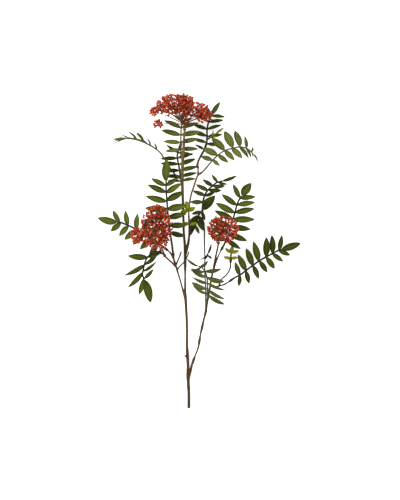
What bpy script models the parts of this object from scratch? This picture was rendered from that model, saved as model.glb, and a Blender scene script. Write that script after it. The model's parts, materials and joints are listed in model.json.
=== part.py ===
"""A cut rowan branch with compound leaves and three heads of berries, lying on its side.

The frame is the branch's own: +Y runs up the stem from the cut, +Z points away from the surface that the
branch lies on, and the origin is on that surface, on a small flat under the stem, 24 mm from the cut end.
Routes and sizes are written in millimetres and scaled once, where a mesh is made.
"""

import math
import random
from dataclasses import dataclass

import bmesh
import bpy
from mathutils import Matrix, Vector

MM = 0.001

# Gap between a stalk and the spur that carries it
GAP = 0.3
# How far a spur stands out from the middle of its twig, and how much thicker than the stalk it is
SPUR_REACH = 5.0
SPUR_SWELL = 1.2
SPUR_TAPER = 1.15
SPUR_SIDES = 6
# How much thicker the spur of a berry head is than that of a leaf
HEAD_SPUR_SIZE = 1.1

# Leaf stalks
STALK_FOOT_RADIUS = 1.5
STALK_TIP_RADIUS = 1.1
# How far the stalk runs straight on from its spur, and how often a bare stretch of it has a point
STALK_LEAD = 2.0
STALK_STEP = 18.0

# Leaflets: half thickness on the midrib, and how far the pointed foot is sunk past the stalk's middle
RIB_HALF_THICKNESS = 0.55
FOOT_SUNK = 0.5
END_SUNK = 1.2
LEAST_WIDTH = 3.2
# How unevenly pairs stand: along the stalk as a share of it, in degrees, and in length
STAGGER = 0.012
UNEVEN_TURN = 5.0
UNEVEN_LENGTHS = (0.94, 1.05)
# The outline's widest place and its fullness, as powers
OUTLINE_LEAN = 0.86
OUTLINE_FULLNESS = 0.72
# Places along one edge as shares of the leaflet: teeth stand out, notches lie between them
EDGE_SHARES = (0.15, 0.42, 0.48, 0.70, 0.77)
NOTCHES = (False, False, True, False, True)
NOTCH_DEPTH = 0.17
RIB_SHARES = (0.11, 0.60)
PLAIN_EDGE_SHARES = (0.28, 0.66)
PLAIN_RIB_SHARES = (0.25,)
TOOTHED_FROM = 25.0
ARCH = 0.10
CUP = 0.3
# A leaf that lies on the surface is bent from this share of its reach, squared, and no more past the limit
BEND_FROM = 0.1
BEND_LIMIT = 1.3

# Berries: bud-shaped, each turned in one piece with its thin stalk
BERRY_RADIUS = 2.6
BERRY_LENGTH = 7.0
BERRY_BELLY = 4.0
BERRY_SIDES = 4
PEDICEL_RADIUS = 0.65
HEAD_STALK_RADII = (1.5, 1.2)
ARM_RADII = (1.0, 0.9)
ARM_SIDES = 4
KNOB_RADIUS = 1.7
HUB_RADIUS = 2.2
# Where an arm forks, as a share of the way from the head's foot to the middle of its berries
FORK_SHARE = 0.62
LONE_FORK_SHARE = 0.86
# How deep in their round form the berries lie
BERRY_DEPTHS = (0.82, 1.04)

COLOURS = {
    "bark": ((0.16, 0.10, 0.05, 1.0), 0.8),
    "leaf_dark": ((0.05, 0.10, 0.03, 1.0), 0.55),
    "leaf_olive": ((0.11, 0.17, 0.05, 1.0), 0.6),
    "leaf_young": ((0.30, 0.34, 0.06, 1.0), 0.6),
    "berry": ((0.55, 0.08, 0.02, 1.0), 0.45),
}

# The woody stem: each route is (x, y, z, radius) from foot to tip, the foot inside what carries it
WOOD = {
    "main_stem": (
        (0, -24, 2.4, 3.1), (0, 6, 2.4, 3.1), (-1, 30, 2.6, 3.2), (-2, 48, 3.6, 3.5), (-2, 71, 6, 3.0),
        (-3, 98, 9, 3.3), (-4, 118, 11, 2.8), (-4, 152, 14, 2.8), (-5, 186, 17, 2.9), (-7, 220, 20.5, 3.1),
        (-8, 247, 23, 2.6), (-8, 276, 26, 2.2), (-8, 298, 28.5, 2.9), (-8, 321, 31, 3.0), (-9, 347, 33.5, 2.7),
        (-11, 372, 36, 2.5), (-12, 410, 40, 2.6), (-13, 443, 43.5, 2.8), (-14, 476, 46.5, 3.0),
        (-14, 510, 49, 3.1), (-13, 536, 50.5, 3.1), (-11, 563, 52, 2.8), (-10, 585, 52.5, 2.5),
        (-9, 598, 52.8, 2.2),
    ),
    "right_branch": (
        (-1, 42, 3.2, 2.6), (3, 57, 4.5, 2.9), (7, 73, 6.5, 2.5), (11, 85, 8, 3.0), (15, 96, 9.5, 2.0),
        (21, 112, 11, 2.2), (24, 128, 12.5, 3.0), (26, 141, 14, 2.2), (30, 159, 16, 3.0), (34, 177, 18, 2.4),
        (38, 193, 20, 3.0), (41, 213, 22, 2.6), (46, 240, 25, 2.3), (51, 269, 29, 2.3), (56, 294, 32.5, 2.3),
        (60, 316, 36, 2.2), (64, 334, 39, 2.2), (66, 346, 42, 2.0),
    ),
    "inner_twig": (
        (38, 195, 20, 1.8), (38, 220, 20.5, 1.8), (38, 247, 20.5, 1.7), (36, 282, 21, 1.7), (36, 320, 22, 1.7),
        (35, 354, 24, 1.8), (35, 379, 27, 1.8), (32, 396, 30, 1.7), (30, 411, 32.5, 1.6),
    ),
    "left_branch": (
        (-7, 220, 20.5, 2.4), (-11, 233, 22, 2.4), (-15, 249, 23.5, 2.2), (-21, 270, 25.5, 2.1),
        (-26, 287, 27, 2.3), (-29, 297, 28.5, 2.2), (-32, 307, 30, 2.0), (-34, 317, 32, 1.8),
    ),
    "left_front_twig": (
        (-29, 295, 28, 2.1), (-38, 304, 31, 2.1), (-46, 311, 34, 2.0), (-53, 318, 38, 1.9),
        (-58, 324, 42, 1.7),
    ),
    "left_back_twig": (
        (-31, 304, 29.5, 1.9), (-36, 316, 28.5, 1.8), (-41, 325, 27.5, 1.8), (-47, 331, 27, 1.7),
    ),
    "left_bare_twig": (
        (-29, 297, 28.5, 1.6), (-24, 309, 28.5, 1.6), (-20, 318, 29, 1.6), (-17, 328, 29, 1.7),
    ),
    "crossing_twig": (
        (-26, 287, 27, 1.6), (-21, 294, 25, 1.5), (-15, 300, 22.5, 1.5), (-8, 308, 21, 1.5),
        (-3, 318, 20.5, 1.5), (0, 328, 21, 1.6),
    ),
    "second_stem": (
        (-8, 318, 30.5, 2.4), (-4, 334, 32, 2.8), (-1, 347, 33.5, 2.8), (1, 363, 34, 2.4), (1, 385, 34.5, 2.0),
        (0, 412, 35, 1.9), (2, 437, 36, 1.9), (6, 457, 37, 1.9), (12, 475, 38, 1.9), (17, 491, 39, 1.9),
        (21, 499, 40, 2.1),
    ),
    "high_twig": (
        (21, 498, 39.5, 1.9), (21, 515, 38, 1.8), (21, 528, 36, 1.7), (26, 542, 33, 1.5), (33, 555, 31, 1.3),
        (38, 569, 30, 1.2), (41, 578, 30, 1.1),
    ),
    "right_low_twig": (
        (48, 251, 26.5, 1.8), (56, 250, 27, 1.6), (67, 251, 28, 1.6), (77, 254, 29, 1.9), (84, 257, 29.5, 2.0),
        (90, 261, 29.8, 1.5),
    ),
    "right_thin_twig": (
        (68, 252, 28, 1.8), (71, 262, 29, 1.8), (75, 268, 30, 1.8), (83, 275, 31, 1.8), (89, 283, 32, 1.8),
        (93, 294, 33, 1.8), (93, 304, 34, 1.7),
    ),
    "right_high_twig": (
        (56, 290, 32, 1.8), (62, 307, 35, 1.7), (67, 321, 38, 1.7), (72, 331, 40, 1.7),
    ),
    "broken_stub": (
        (-3, 87, 7.5, 1.8), (-6, 92, 9, 1.6), (-10, 95, 10, 1.5),
    ),
}
# Twigs thicker than this have six sides, the others four
ROUND_FROM = 2.0
# Half the length of the box that planes the flat under the stem
FLAT_REACH = 80.0

# Edges bent more than this many degrees look sharp, and vertices this near are one
SHARP_FROM = 40.0
WELD = 0.01


@dataclass(frozen=True)
class Leaf:
    """One compound leaf: its stalk's route from the wood to the end leaflet, and what stands along it.

    first and last are shares of the stalk where its pairs begin and end. Pairs of values are for its foot and
    its tip: which way it faces, how far the leaflets sweep forward and lean to one side, in degrees, and their
    length there as a share of the longest. bias makes the leaflets on one side longer. end is the length and
    width of the leaflet at its end.
    """

    route: tuple
    pairs: int
    first: float
    face: tuple
    sweep: tuple
    vee: float
    length: float
    end: tuple
    last: float = 0.95
    lean: tuple = (0.0, 0.0)
    bias: float = 0.0
    lengths: tuple = (0.8, 0.78)
    slimness: float = 0.3
    colour: str = "leaf_dark"
    stalk: float = 1.0
    lies: bool = False


@dataclass(frozen=True)
class Clump:
    """A round form that berries cover: its middle, its half sizes, how many berries and how many arms."""

    middle: tuple
    halves: tuple
    berries: int
    arms: int
    lowest: float


@dataclass(frozen=True)
class Head:
    """One head of berries: its stalk's route and its clumps."""

    route: tuple
    clumps: tuple
    seed: int


LEAVES = {
    "leaf_top_behind": Leaf(
        route=((21, 515, 38), (19, 520, 30), (22, 532, 25), (29, 545, 23), (36, 558, 22), (40, 572, 21),
               (41, 586, 20), (41, 600, 18.5), (43, 613, 17), (47, 626, 15.5), (52, 635, 14)),
        pairs=6, first=0.38, last=0.97, face=((0.1, 0.1, 1), (-0.3, 0, 1)), sweep=(4, 30), vee=-4,
        length=36, lengths=(0.66, 0.82), slimness=0.28, end=(37, 12), lies=True),
    "leaf_upper_right": Leaf(
        route=((21, 499, 40), (31, 506, 43), (42, 518, 45.5), (54, 532, 47.5), (67, 544, 48.5),
               (81, 553, 49), (98, 558, 47.5), (113, 561, 44), (127, 559, 37), (138, 553, 27),
               (145, 545, 17)),
        pairs=7, first=0.29, last=0.93, face=((0.1, 0.7, 1), (0.3, 0.7, 1)), sweep=(-10, 24), lean=(17, 8),
        bias=-0.15, vee=8, length=43, lengths=(0.62, 0.36), slimness=0.4, end=(29, 10), colour="leaf_olive",
        stalk=0.8, lies=True),
    "leaf_upper_left": Leaf(
        route=((-14, 488, 47), (-23, 494, 45), (-33, 503, 43.5), (-44, 518, 42), (-54, 535, 41),
               (-67, 552, 39), (-86, 565, 37), (-108, 575, 35), (-129, 580, 33), (-147, 579, 30),
               (-158, 574, 27)),
        pairs=6, first=0.5, last=0.95, face=((0.1, 1, 0.25), (-0.1, 1, 0.35)), sweep=(42, 56), vee=16,
        length=36, lengths=(0.7, 0.75), slimness=0.3, end=(24, 8), colour="leaf_olive", stalk=0.85),
    "leaf_top_front": Leaf(
        route=((-13, 532, 50.5), (-15, 535, 43.5), (-17, 545, 42), (-17.5, 560, 42), (-17.5, 581, 42),
               (-17, 600, 39.5), (-15.5, 613, 34.5), (-14.5, 622, 30)),
        pairs=5, first=0.3, last=0.96, face=((-0.15, -0.2, 1), (0, -0.3, 1)), sweep=(0, 30), vee=0,
        length=45, lengths=(0.84, 0.62), slimness=0.29, end=(25, 9), colour="leaf_olive", stalk=0.8),
    "leaf_inner_upper": Leaf(
        route=((-14, 474, 46.3), (-16, 480, 37), (-18, 493, 28), (-21, 513, 26), (-24, 529, 25),
               (-26, 542, 24.5), (-23, 552, 24)),
        pairs=6, first=0.2, last=0.97, face=((0.1, 0.2, 1), (0.3, 0.3, 1)), sweep=(2, 12), vee=6, length=42,
        slimness=0.26, end=(26, 8)),
    "leaf_middle_left": Leaf(
        route=((-34, 317, 32), (-37, 341, 39), (-40, 361, 44), (-43, 385, 49.5), (-46, 412, 53),
               (-48, 438, 55), (-50, 464, 57), (-50, 485, 57)),
        pairs=7, first=0.32, last=0.945, face=((-0.4, 1.1, 1), (-0.3, 1.0, 1)), sweep=(-10, 31), vee=14,
        length=49, lengths=(0.78, 0.74), slimness=0.34, end=(50, 21)),
    "leaf_far_left": Leaf(
        route=((-47, 331, 27), (-63, 343, 30), (-83, 357, 33), (-101, 369, 33.5), (-117, 378, 32),
               (-134, 386, 28.5), (-150, 392.5, 24.5), (-161, 394.5, 21.5)),
        pairs=6, first=0.2, last=0.935, face=((-0.2, 0.1, 1), (0.2, -0.4, 1)), sweep=(2, 38), lean=(0, 4),
        vee=2, length=37, lengths=(0.92, 0.88), slimness=0.41, end=(49, 19), lies=True),
    "leaf_low_left": Leaf(
        route=((-58, 324, 42), (-66, 326, 45), (-76, 325, 47), (-87, 320, 47), (-94, 312, 46),
               (-98, 301, 42), (-101, 289, 37), (-103, 277, 31), (-99.5, 265, 25)),
        pairs=4, first=0.4, last=0.96, face=((0.5, -0.1, 1), (0.7, -0.6, 1)), sweep=(-14, 20),
        lean=(42, 36), bias=0.13, vee=4, length=46, lengths=(0.88, 0.76), slimness=0.34, end=(63, 22),
        lies=True),
    "leaf_centre_right": Leaf(
        route=((30, 411, 32.5), (31, 430, 36.5), (33, 445, 39), (39, 460, 41), (49, 471, 43), (61, 481, 44),
               (75, 485.5, 45)),
        pairs=5, first=0.3, last=0.88, face=((0.4, -0.3, 1), (0.4, -0.5, 1)), sweep=(12, 18), lean=(14, 30),
        vee=2, length=31, lengths=(1.0, 0.74), slimness=0.36, end=(36, 10)),
    "leaf_centre_dark": Leaf(
        route=((1, 365, 34), (9, 375, 27), (17, 394, 23), (23, 411, 21), (32, 422, 21)),
        pairs=4, first=0.42, last=0.92, face=((0.1, 0.2, 1), (0.2, 0.2, 1)), sweep=(-62, -42),
        lean=(20, 12), vee=0, length=28, slimness=0.4, end=(43, 19)),
    "leaf_middle_right": Leaf(
        route=((72, 331, 40), (80, 346, 42), (87, 362, 43.5), (93, 380, 45), (98, 398, 46), (102, 412, 47),
               (106, 427, 48), (111, 441, 48), (119, 453, 47)),
        pairs=7, first=0.19, last=0.93, face=((0.35, 0.8, 1), (0, 0.6, 1)), sweep=(-8, 34), lean=(0, 5),
        vee=3, length=46, lengths=(0.84, 0.82), slimness=0.34, end=(36, 22)),
    "leaf_low_right": Leaf(
        route=((90, 261, 29.8), (103, 270, 32), (116, 277, 33.5), (129, 287, 34.5), (143, 297, 34.5),
               (155, 306, 33), (167, 313, 30.5), (182, 321, 26.5), (199, 330, 21), (208, 333, 18.5)),
        pairs=7, first=0.2, last=0.95, face=((0.1, -0.4, 1), (0.3, 0, 1)), sweep=(-12, 36), lean=(-22, 7),
        bias=-0.1, vee=2, length=40, lengths=(0.76, 0.84), slimness=0.39, end=(50, 18), lies=True),
    "leaf_low_centre": Leaf(
        route=((44, 222, 23), (42, 231, 33), (42, 242, 44), (42, 255, 54), (41, 268, 63), (38, 281, 71),
               (31, 291, 78), (22, 296, 82)),
        pairs=6, first=0.17, last=0.95, face=((-1.1, -1.2, 1), (-0.9, -1.4, 1)), sweep=(-10, 8), vee=2,
        length=48, lengths=(0.95, 0.8), slimness=0.29, end=(34, 12), colour="leaf_olive", stalk=0.8),
    "leaf_inner_dark": Leaf(
        route=((36, 312, 22), (40, 317, 26), (43, 324, 29)),
        pairs=1, first=0.75, face=((0.8, 0, 1), (0.8, 0, 1)), sweep=(-35, -35), lean=(5, 5), vee=0,
        length=26, end=(25, 8), slimness=0.3, stalk=0.85),
    "shoot_upper_right": Leaf(
        route=((41, 578, 30), (53, 586, 36), (60, 591, 38)),
        pairs=1, first=0.6, face=((0, 0, 1), (0, 0, 1)), sweep=(55, 55), vee=5, length=18, slimness=0.18,
        end=(24, 5.4), colour="leaf_young", stalk=0.6),
    "shoot_centre": Leaf(
        route=((1, 378, 34.5), (2, 386, 42), (2, 396, 49), (1, 410, 54), (-1, 420, 56)),
        pairs=2, first=0.3, last=0.97, face=((0, -0.6, 1), (0, -0.2, 1)), sweep=(20, 12), vee=8, length=22,
        slimness=0.6, end=(22, 14), colour="leaf_young", stalk=0.6),
    "shoot_right": Leaf(
        route=((93, 304, 34), (94, 311, 36), (94, 319, 37.5), (95, 326, 38.5)),
        pairs=2, first=0.4, last=0.97, face=((0, -0.4, 1), (0, -0.2, 1)), sweep=(10, 28), vee=6, length=22,
        slimness=0.48, end=(17, 9), colour="leaf_young", stalk=1.1),
}

HEADS = {
    "berries_top": Head(
        route=((-9, 598, 52.8), (-9, 604, 53.3), (-9, 611, 54)),
        seed=3,
        clumps=(Clump((-32, 651, 60), (40, 26, 34), 30, 6, -0.7),
                Clump((-7, 663, 56), (18, 14, 22), 6, 2, -0.8),
                Clump((16, 640, 62), (29, 21, 26), 14, 3, -0.7),
                Clump((35, 630, 60), (18, 16, 20), 7, 2, -0.9),
                Clump((-76, 639, 62), (10, 10, 9), 6, 1, -1.0),
                Clump((-67, 611, 66), (10, 9, 9), 6, 1, -1.0))),
    "berries_left": Head(
        route=((-53, 318, 38), (-55, 324, 49), (-60, 338, 62), (-66, 352, 70), (-69, 364, 75)),
        seed=5,
        clumps=(Clump((-71, 380, 88), (34, 50, 23), 33, 7, -0.95),
                Clump((-114, 364, 74), (14, 18, 10), 7, 1, -1.0))),
    "berries_right": Head(
        route=((66, 346, 42), (67, 350, 49), (69, 358, 58), (71, 365, 63)),
        seed=8,
        clumps=(Clump((76, 377, 77), (34, 30, 21), 27, 6, -0.95),)),
}


class Path:
    """A smooth curve through points chosen by hand, read by its share of length."""

    PIECES = 12

    def __init__(self, points):
        knots = [Vector(point[:3]) for point in points]
        knots.insert(0, 2 * knots[0] - knots[1])
        knots.append(2 * knots[-1] - knots[-2])
        self.points = []
        for a, b, c, d in zip(knots, knots[1:], knots[2:], knots[3:]):
            for step in range(self.PIECES):
                self.points.append(catmull(a, b, c, d, step / self.PIECES))
        self.points.append(knots[-2])
        self.marks = [0.0]
        for low, high in zip(self.points, self.points[1:]):
            self.marks.append(self.marks[-1] + (high - low).length)
        self.length = self.marks[-1]

    def at(self, distance):
        """The point at a distance from the foot."""
        distance = min(max(distance, 0.0), self.length)
        for index in range(1, len(self.marks)):
            if distance <= self.marks[index]:
                span = self.marks[index] - self.marks[index - 1]
                share = (distance - self.marks[index - 1]) / span
                return self.points[index - 1].lerp(self.points[index], share)
        return self.points[-1].copy()

    def along(self, distance):
        """The direction of the curve there."""
        return (self.at(distance + 1.0) - self.at(distance - 1.0)).normalized()


def catmull(a, b, c, d, t):
    """A point between b and c on the smooth curve through a, b, c and d."""
    return 0.5 * (2 * b + (c - a) * t + (2 * a - 5 * b + 4 * c - d) * t**2 + (3 * b - a - 3 * c + d) * t**3)


def material(name):
    """The finish of that name, made once."""
    found = bpy.data.materials.get(name)
    if found:
        return found
    colour, roughness = COLOURS[name.split(".")[0]]
    made = bpy.data.materials.new(name)
    made.use_nodes = True
    shader = made.node_tree.nodes["Principled BSDF"]
    shader.inputs["Base Color"].default_value = colour
    shader.inputs["Roughness"].default_value = roughness
    shader.inputs["Metallic"].default_value = 0.0
    made.diffuse_color = colour
    return made


def object_of(name, mesh, collection):
    """A new object with that mesh, in that collection."""
    made = bpy.data.objects.new(name, mesh)
    collection.objects.link(made)
    return made


def mesh_of(name, shape):
    """A mesh from a bmesh in millimetres, which is freed."""
    mesh = bpy.data.meshes.new(name)
    bmesh.ops.scale(shape, vec=(MM, MM, MM), verts=shape.verts)
    shape.to_mesh(mesh)
    shape.free()
    return mesh


def tube(name, points, radii, resolution, collection):
    """A closed tube through the points, as a mesh object: 4 sides at resolution 0 and 6 at 1."""
    curve = bpy.data.curves.new(name, "CURVE")
    curve.dimensions = "3D"
    curve.bevel_depth = MM
    curve.bevel_resolution = resolution
    curve.use_fill_caps = True
    spline = curve.splines.new("POLY")
    spline.points.add(len(points) - 1)
    for knot, point, radius in zip(spline.points, points, radii):
        knot.co = (point[0] * MM, point[1] * MM, point[2] * MM, 1.0)
        knot.radius = radius
    guide = object_of(name + "_curve", curve, collection)
    bpy.context.view_layer.update()
    mesh = bpy.data.meshes.new_from_object(guide.evaluated_get(bpy.context.evaluated_depsgraph_get()))
    made = object_of(name, mesh, collection)
    made.matrix_world = guide.matrix_world
    bpy.data.objects.remove(guide)
    shape = bmesh.new()
    shape.from_mesh(mesh)
    bmesh.ops.remove_doubles(shape, verts=shape.verts, dist=WELD * MM)
    bmesh.ops.recalc_face_normals(shape, faces=shape.faces)
    shape.to_mesh(mesh)
    shape.free()
    return made


def rod(name, start, end, radii, sides, collection):
    """A straight tapering stick between two points."""
    shape = bmesh.new()
    way = end - start
    turn = way.to_track_quat("Z", "Y").to_matrix().to_4x4()
    place = Matrix.Translation(start.lerp(end, 0.5)) @ turn
    bmesh.ops.create_cone(shape, cap_ends=True, segments=sides, radius1=radii[0], radius2=radii[1],
                          depth=way.length, matrix=place)
    return object_of(name, mesh_of(name, shape), collection)


def fuse(body, extras):
    """Join everything in the collection of extras to the body, and clear the collection away."""
    if extras.objects:
        union = body.modifiers.new("union", "BOOLEAN")
        union.operation = "UNION"
        union.operand_type = "COLLECTION"
        union.collection = extras
        union.solver = "MANIFOLD"
        bpy.context.view_layer.update()
        joined = bpy.data.meshes.new_from_object(body.evaluated_get(bpy.context.evaluated_depsgraph_get()))
        body.modifiers.clear()
        body.data = joined
    for extra in list(extras.objects):
        bpy.data.objects.remove(extra)
    bpy.data.collections.remove(extras)
    return body


def extras_for(name):
    """A collection for the shapes that will be fused to one node."""
    made = bpy.data.collections.new(name + "_extras")
    bpy.context.scene.collection.children.link(made)
    return made


def finish(body, name, colour, rig):
    """Give a node its finish, its smooth shading and its parent."""
    body.data.materials.clear()
    body.data.materials.append(material(f"{colour}.{name}"))
    body.data.shade_smooth()
    body.data.set_sharp_from_angle(angle=math.radians(SHARP_FROM))
    body.parent = rig


def spur_of(route):
    """Where a stalk leaves the wood: its seat in the twig, the spur's flat end and the way it points."""
    path = Path(route)
    seat = path.at(0.0)
    way = (path.at(SPUR_REACH) - seat).normalized()
    return path, seat, seat + way * SPUR_REACH, way


def stalk_points(route, shares):
    """A stalk's curve and its points: just past its spur, along its bare foot, at the shares, at its end."""
    path, seat, _, way = spur_of(route)
    start = SPUR_REACH + GAP
    lead = start + STALK_LEAD
    points = [seat + way * start, seat + way * lead]
    bare = (shares[0] if shares else 1.0) * path.length - lead
    count = max(1, round(bare / STALK_STEP))
    points += [path.at(lead + bare * step / count) for step in range(1, count)]
    points += [path.at(path.length * share) for share in shares]
    points.append(path.at(path.length))
    return path, points


def between(values, share):
    """The value at a share of the way from the first to the second."""
    return values[0] + (values[1] - values[0]) * share


def build_wood(parts, rig):
    """The woody stem: every route fused, a spur for each stalk, and the flat it rests on."""
    extras = extras_for("woody_stem")
    body = None
    for name, route in WOOD.items():
        home = parts if body is None else extras
        radii = [point[3] for point in route]
        made = tube(name, route, radii, 1 if max(radii) > ROUND_FROM else 0, home)
        body = body or made
    for name, part in {**LEAVES, **HEADS}.items():
        _, seat, end, _ = spur_of(part.route)
        radius = STALK_FOOT_RADIUS * SPUR_SWELL * getattr(part, "stalk", HEAD_SPUR_SIZE)
        rod(name + "_spur", seat, end, (radius * SPUR_TAPER, radius), SPUR_SIDES, extras)
    fuse(body, extras)
    body.name = "woody_stem"
    plane_flat(body)
    finish(body, "woody_stem", "bark", rig)


def plane_flat(body):
    """Cut the stem level where it lies on the surface."""
    bpy.ops.mesh.primitive_cube_add(size=2 * FLAT_REACH * MM, location=(0, 0, -FLAT_REACH * MM))
    cutter = bpy.context.object
    cutter.name = "flat_cutter"
    cutter.hide_render = True
    cutter.display_type = "WIRE"
    cut = body.modifiers.new("flat", "BOOLEAN")
    cut.operation = "DIFFERENCE"
    cut.object = cutter
    cut.solver = "EXACT"
    bpy.context.view_layer.update()
    planed = bpy.data.meshes.new_from_object(body.evaluated_get(bpy.context.evaluated_depsgraph_get()))
    body.modifiers.clear()
    body.data = planed
    bpy.data.objects.remove(cutter)


def half_width(share):
    """Half the width of a leaflet's outline there, as a share of its greatest half width."""
    return math.sin(math.pi * share**OUTLINE_LEAN) ** OUTLINE_FULLNESS


def leaflet(length, width, toothed):
    """One leaflet along +Y, face up, its foot at the origin: two keeled faces that share a toothed edge."""
    shape = bmesh.new()

    def vertex(x, share, z):
        bend = -ARCH * length * share**2 + CUP * abs(x)
        return shape.verts.new((x, share * length, z + bend))

    shares = EDGE_SHARES if toothed else PLAIN_EDGE_SHARES
    notches = NOTCHES if toothed else (False,) * len(shares)
    rib_shares = RIB_SHARES if toothed else PLAIN_RIB_SHARES
    foot = vertex(0, -FOOT_SUNK / length, 0)
    ribs = {face: [vertex(0, share, face * RIB_HALF_THICKNESS) for share in rib_shares] for face in (1, -1)}
    tip = vertex(0, 1, 0)
    for side in (1, -1):
        edge = []
        for share, notch in zip(shares, notches):
            reach = half_width(share) * (1 - NOTCH_DEPTH * notch)
            edge.append(vertex(side * reach * width / 2, share, 0))
        edge.append(tip)
        turn = 2 if toothed else len(edge) - 1
        for face in (1, -1):
            rib = ribs[face]
            rows = [(foot, edge[0], rib[0])]
            rows += [(edge[i], edge[i + 1], rib[0]) for i in range(turn)]
            rows += [(rib[0], edge[turn], rib[-1])] * toothed
            rows += [(edge[i], edge[i + 1], rib[-1]) for i in range(turn, len(edge) - 1)]
            for row in rows:
                shape.faces.new(row if side * face > 0 else row[::-1])
    bmesh.ops.recalc_face_normals(shape, faces=shape.faces)
    return shape


def frame_at(path, distance, face):
    """The leaf's frame there: right across, along the stalk, and out of its face."""
    along = path.along(distance)
    up = Vector(face)
    up = (up - along * up.dot(along)).normalized()
    return along.cross(up), along, up


def place_leaflet(name, root, way, up, blade, extras):
    """Stand a leaflet at its root, pointing a way, with its face towards up."""
    up = (up - way * up.dot(way)).normalized()
    turn = Matrix((way.cross(up), way, up)).transposed().to_4x4()
    bmesh.ops.transform(blade, matrix=Matrix.Translation(root) @ turn, verts=blade.verts)
    object_of(name, mesh_of(name, blade), extras)


def build_leaf(name, leaf, number, parts, rig):
    """One compound leaf: its stalk, its pairs of leaflets and the one at its end, fused."""
    draw = random.Random(100 + number)
    extras = extras_for(name)
    steps = [pair / max(1, leaf.pairs - 1) for pair in range(leaf.pairs)]
    path, points = stalk_points(leaf.route, [between((leaf.first, leaf.last), step) for step in steps])
    radii = [between((STALK_FOOT_RADIUS, STALK_TIP_RADIUS), i / (len(points) - 1)) * leaf.stalk
             for i in range(len(points))]
    stalk = tube(name, points, radii, 0, parts)
    faces = [Vector(face).normalized() for face in leaf.face]
    toothed = leaf.length > TOOTHED_FROM
    for step in steps:
        hump = 4 * step * (1 - step)
        size = leaf.length * (hump + (1 - hump) * between(leaf.lengths, step))
        for side in (1, -1):
            stagger = draw.uniform(-STAGGER, STAGGER)
            bend = between(leaf.sweep, step) + side * between(leaf.lean, step)
            turn = math.radians(bend + draw.uniform(-UNEVEN_TURN, UNEVEN_TURN))
            lift = math.radians(leaf.vee + draw.uniform(-UNEVEN_TURN, UNEVEN_TURN))
            length = size * (1 + side * leaf.bias) * draw.uniform(*UNEVEN_LENGTHS)
            distance = path.length * (between((leaf.first, leaf.last), step) + stagger)
            right, along, up = frame_at(path, distance, faces[0].lerp(faces[1], step))
            way = math.cos(turn) * side * right + math.sin(turn) * along
            way = math.cos(lift) * way + math.sin(lift) * up
            blade = leaflet(length, max(length * leaf.slimness, LEAST_WIDTH), toothed)
            place_leaflet(f"{name}_leaflet", path.at(distance), way, up, blade, extras)
    _, along, up = frame_at(path, path.length, faces[1])
    root = path.at(path.length) - along * END_SUNK
    place_leaflet(f"{name}_end", root, along, up, leaflet(*leaf.end, toothed), extras)
    fuse(stalk, extras)
    stalk.name = name
    if leaf.lies:
        lay_down(stalk.data, path)
    finish(stalk, name, leaf.colour, rig)


def lay_down(mesh, path):
    """Bend a leaf from its foot, more towards its tip, until its lowest point just touches the surface."""
    foot = path.at(0.0)
    reach = (path.at(path.length) - foot).length
    shares = [min(BEND_LIMIT, ((vertex.co / MM) - foot).length / reach) ** 2 for vertex in mesh.vertices]
    lift = max(-vertex.co.z / share for vertex, share in zip(mesh.vertices, shares) if share > BEND_FROM)
    for vertex, share in zip(mesh.vertices, shares):
        vertex.co.z += lift * share


def spread(count, lowest):
    """Even directions over the part of a ball that lies above the lowest cosine along +Y."""
    golden = math.pi * (3 - math.sqrt(5))
    ways = []
    for index in range(count):
        height = 1 - (index + 0.5) / count * (1 - lowest)
        ring = math.sqrt(max(0.0, 1 - height**2))
        angle = golden * index
        ways.append(Vector((ring * math.cos(angle), height, ring * math.sin(angle))))
    return ways


def stretch(way, halves):
    """A direction scaled by half sizes."""
    return Vector(part * half for part, half in zip(way, halves))


def build_berry(name, fork, berry, extras):
    """A berry and its thin stalk from a fork, turned in one piece from a ball of three rings."""
    way = (berry - fork).normalized()
    shape = bmesh.new()
    bmesh.ops.create_uvsphere(shape, u_segments=BERRY_SIDES, v_segments=4, radius=1.0)
    tip = (berry - fork).length + BERRY_LENGTH / 2
    profile = ((0.0, 0.0), (PEDICEL_RADIUS, 0.0), (PEDICEL_RADIUS, tip - BERRY_LENGTH),
               (BERRY_RADIUS, tip - BERRY_LENGTH + BERRY_BELLY), (0.0, tip))
    for vertex in shape.verts:
        radius, height = profile[round((1 - math.acos(max(-1.0, min(1.0, vertex.co.z))) / math.pi) * 4)]
        flat = vertex.co.to_2d()
        if flat.length > 0.01:
            flat = flat.normalized() * radius
        vertex.co = (flat.x, flat.y, height)
    turn = way.to_track_quat("Z", "Y").to_matrix().to_4x4()
    bmesh.ops.transform(shape, matrix=Matrix.Translation(fork) @ turn, verts=shape.verts)
    object_of(name, mesh_of(name, shape), extras)


def build_knob(name, place, radius, extras):
    """A small swelling where stalks meet."""
    shape = bmesh.new()
    bmesh.ops.create_icosphere(shape, subdivisions=1, radius=radius, matrix=Matrix.Translation(place))
    object_of(name, mesh_of(name, shape), extras)


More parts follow.
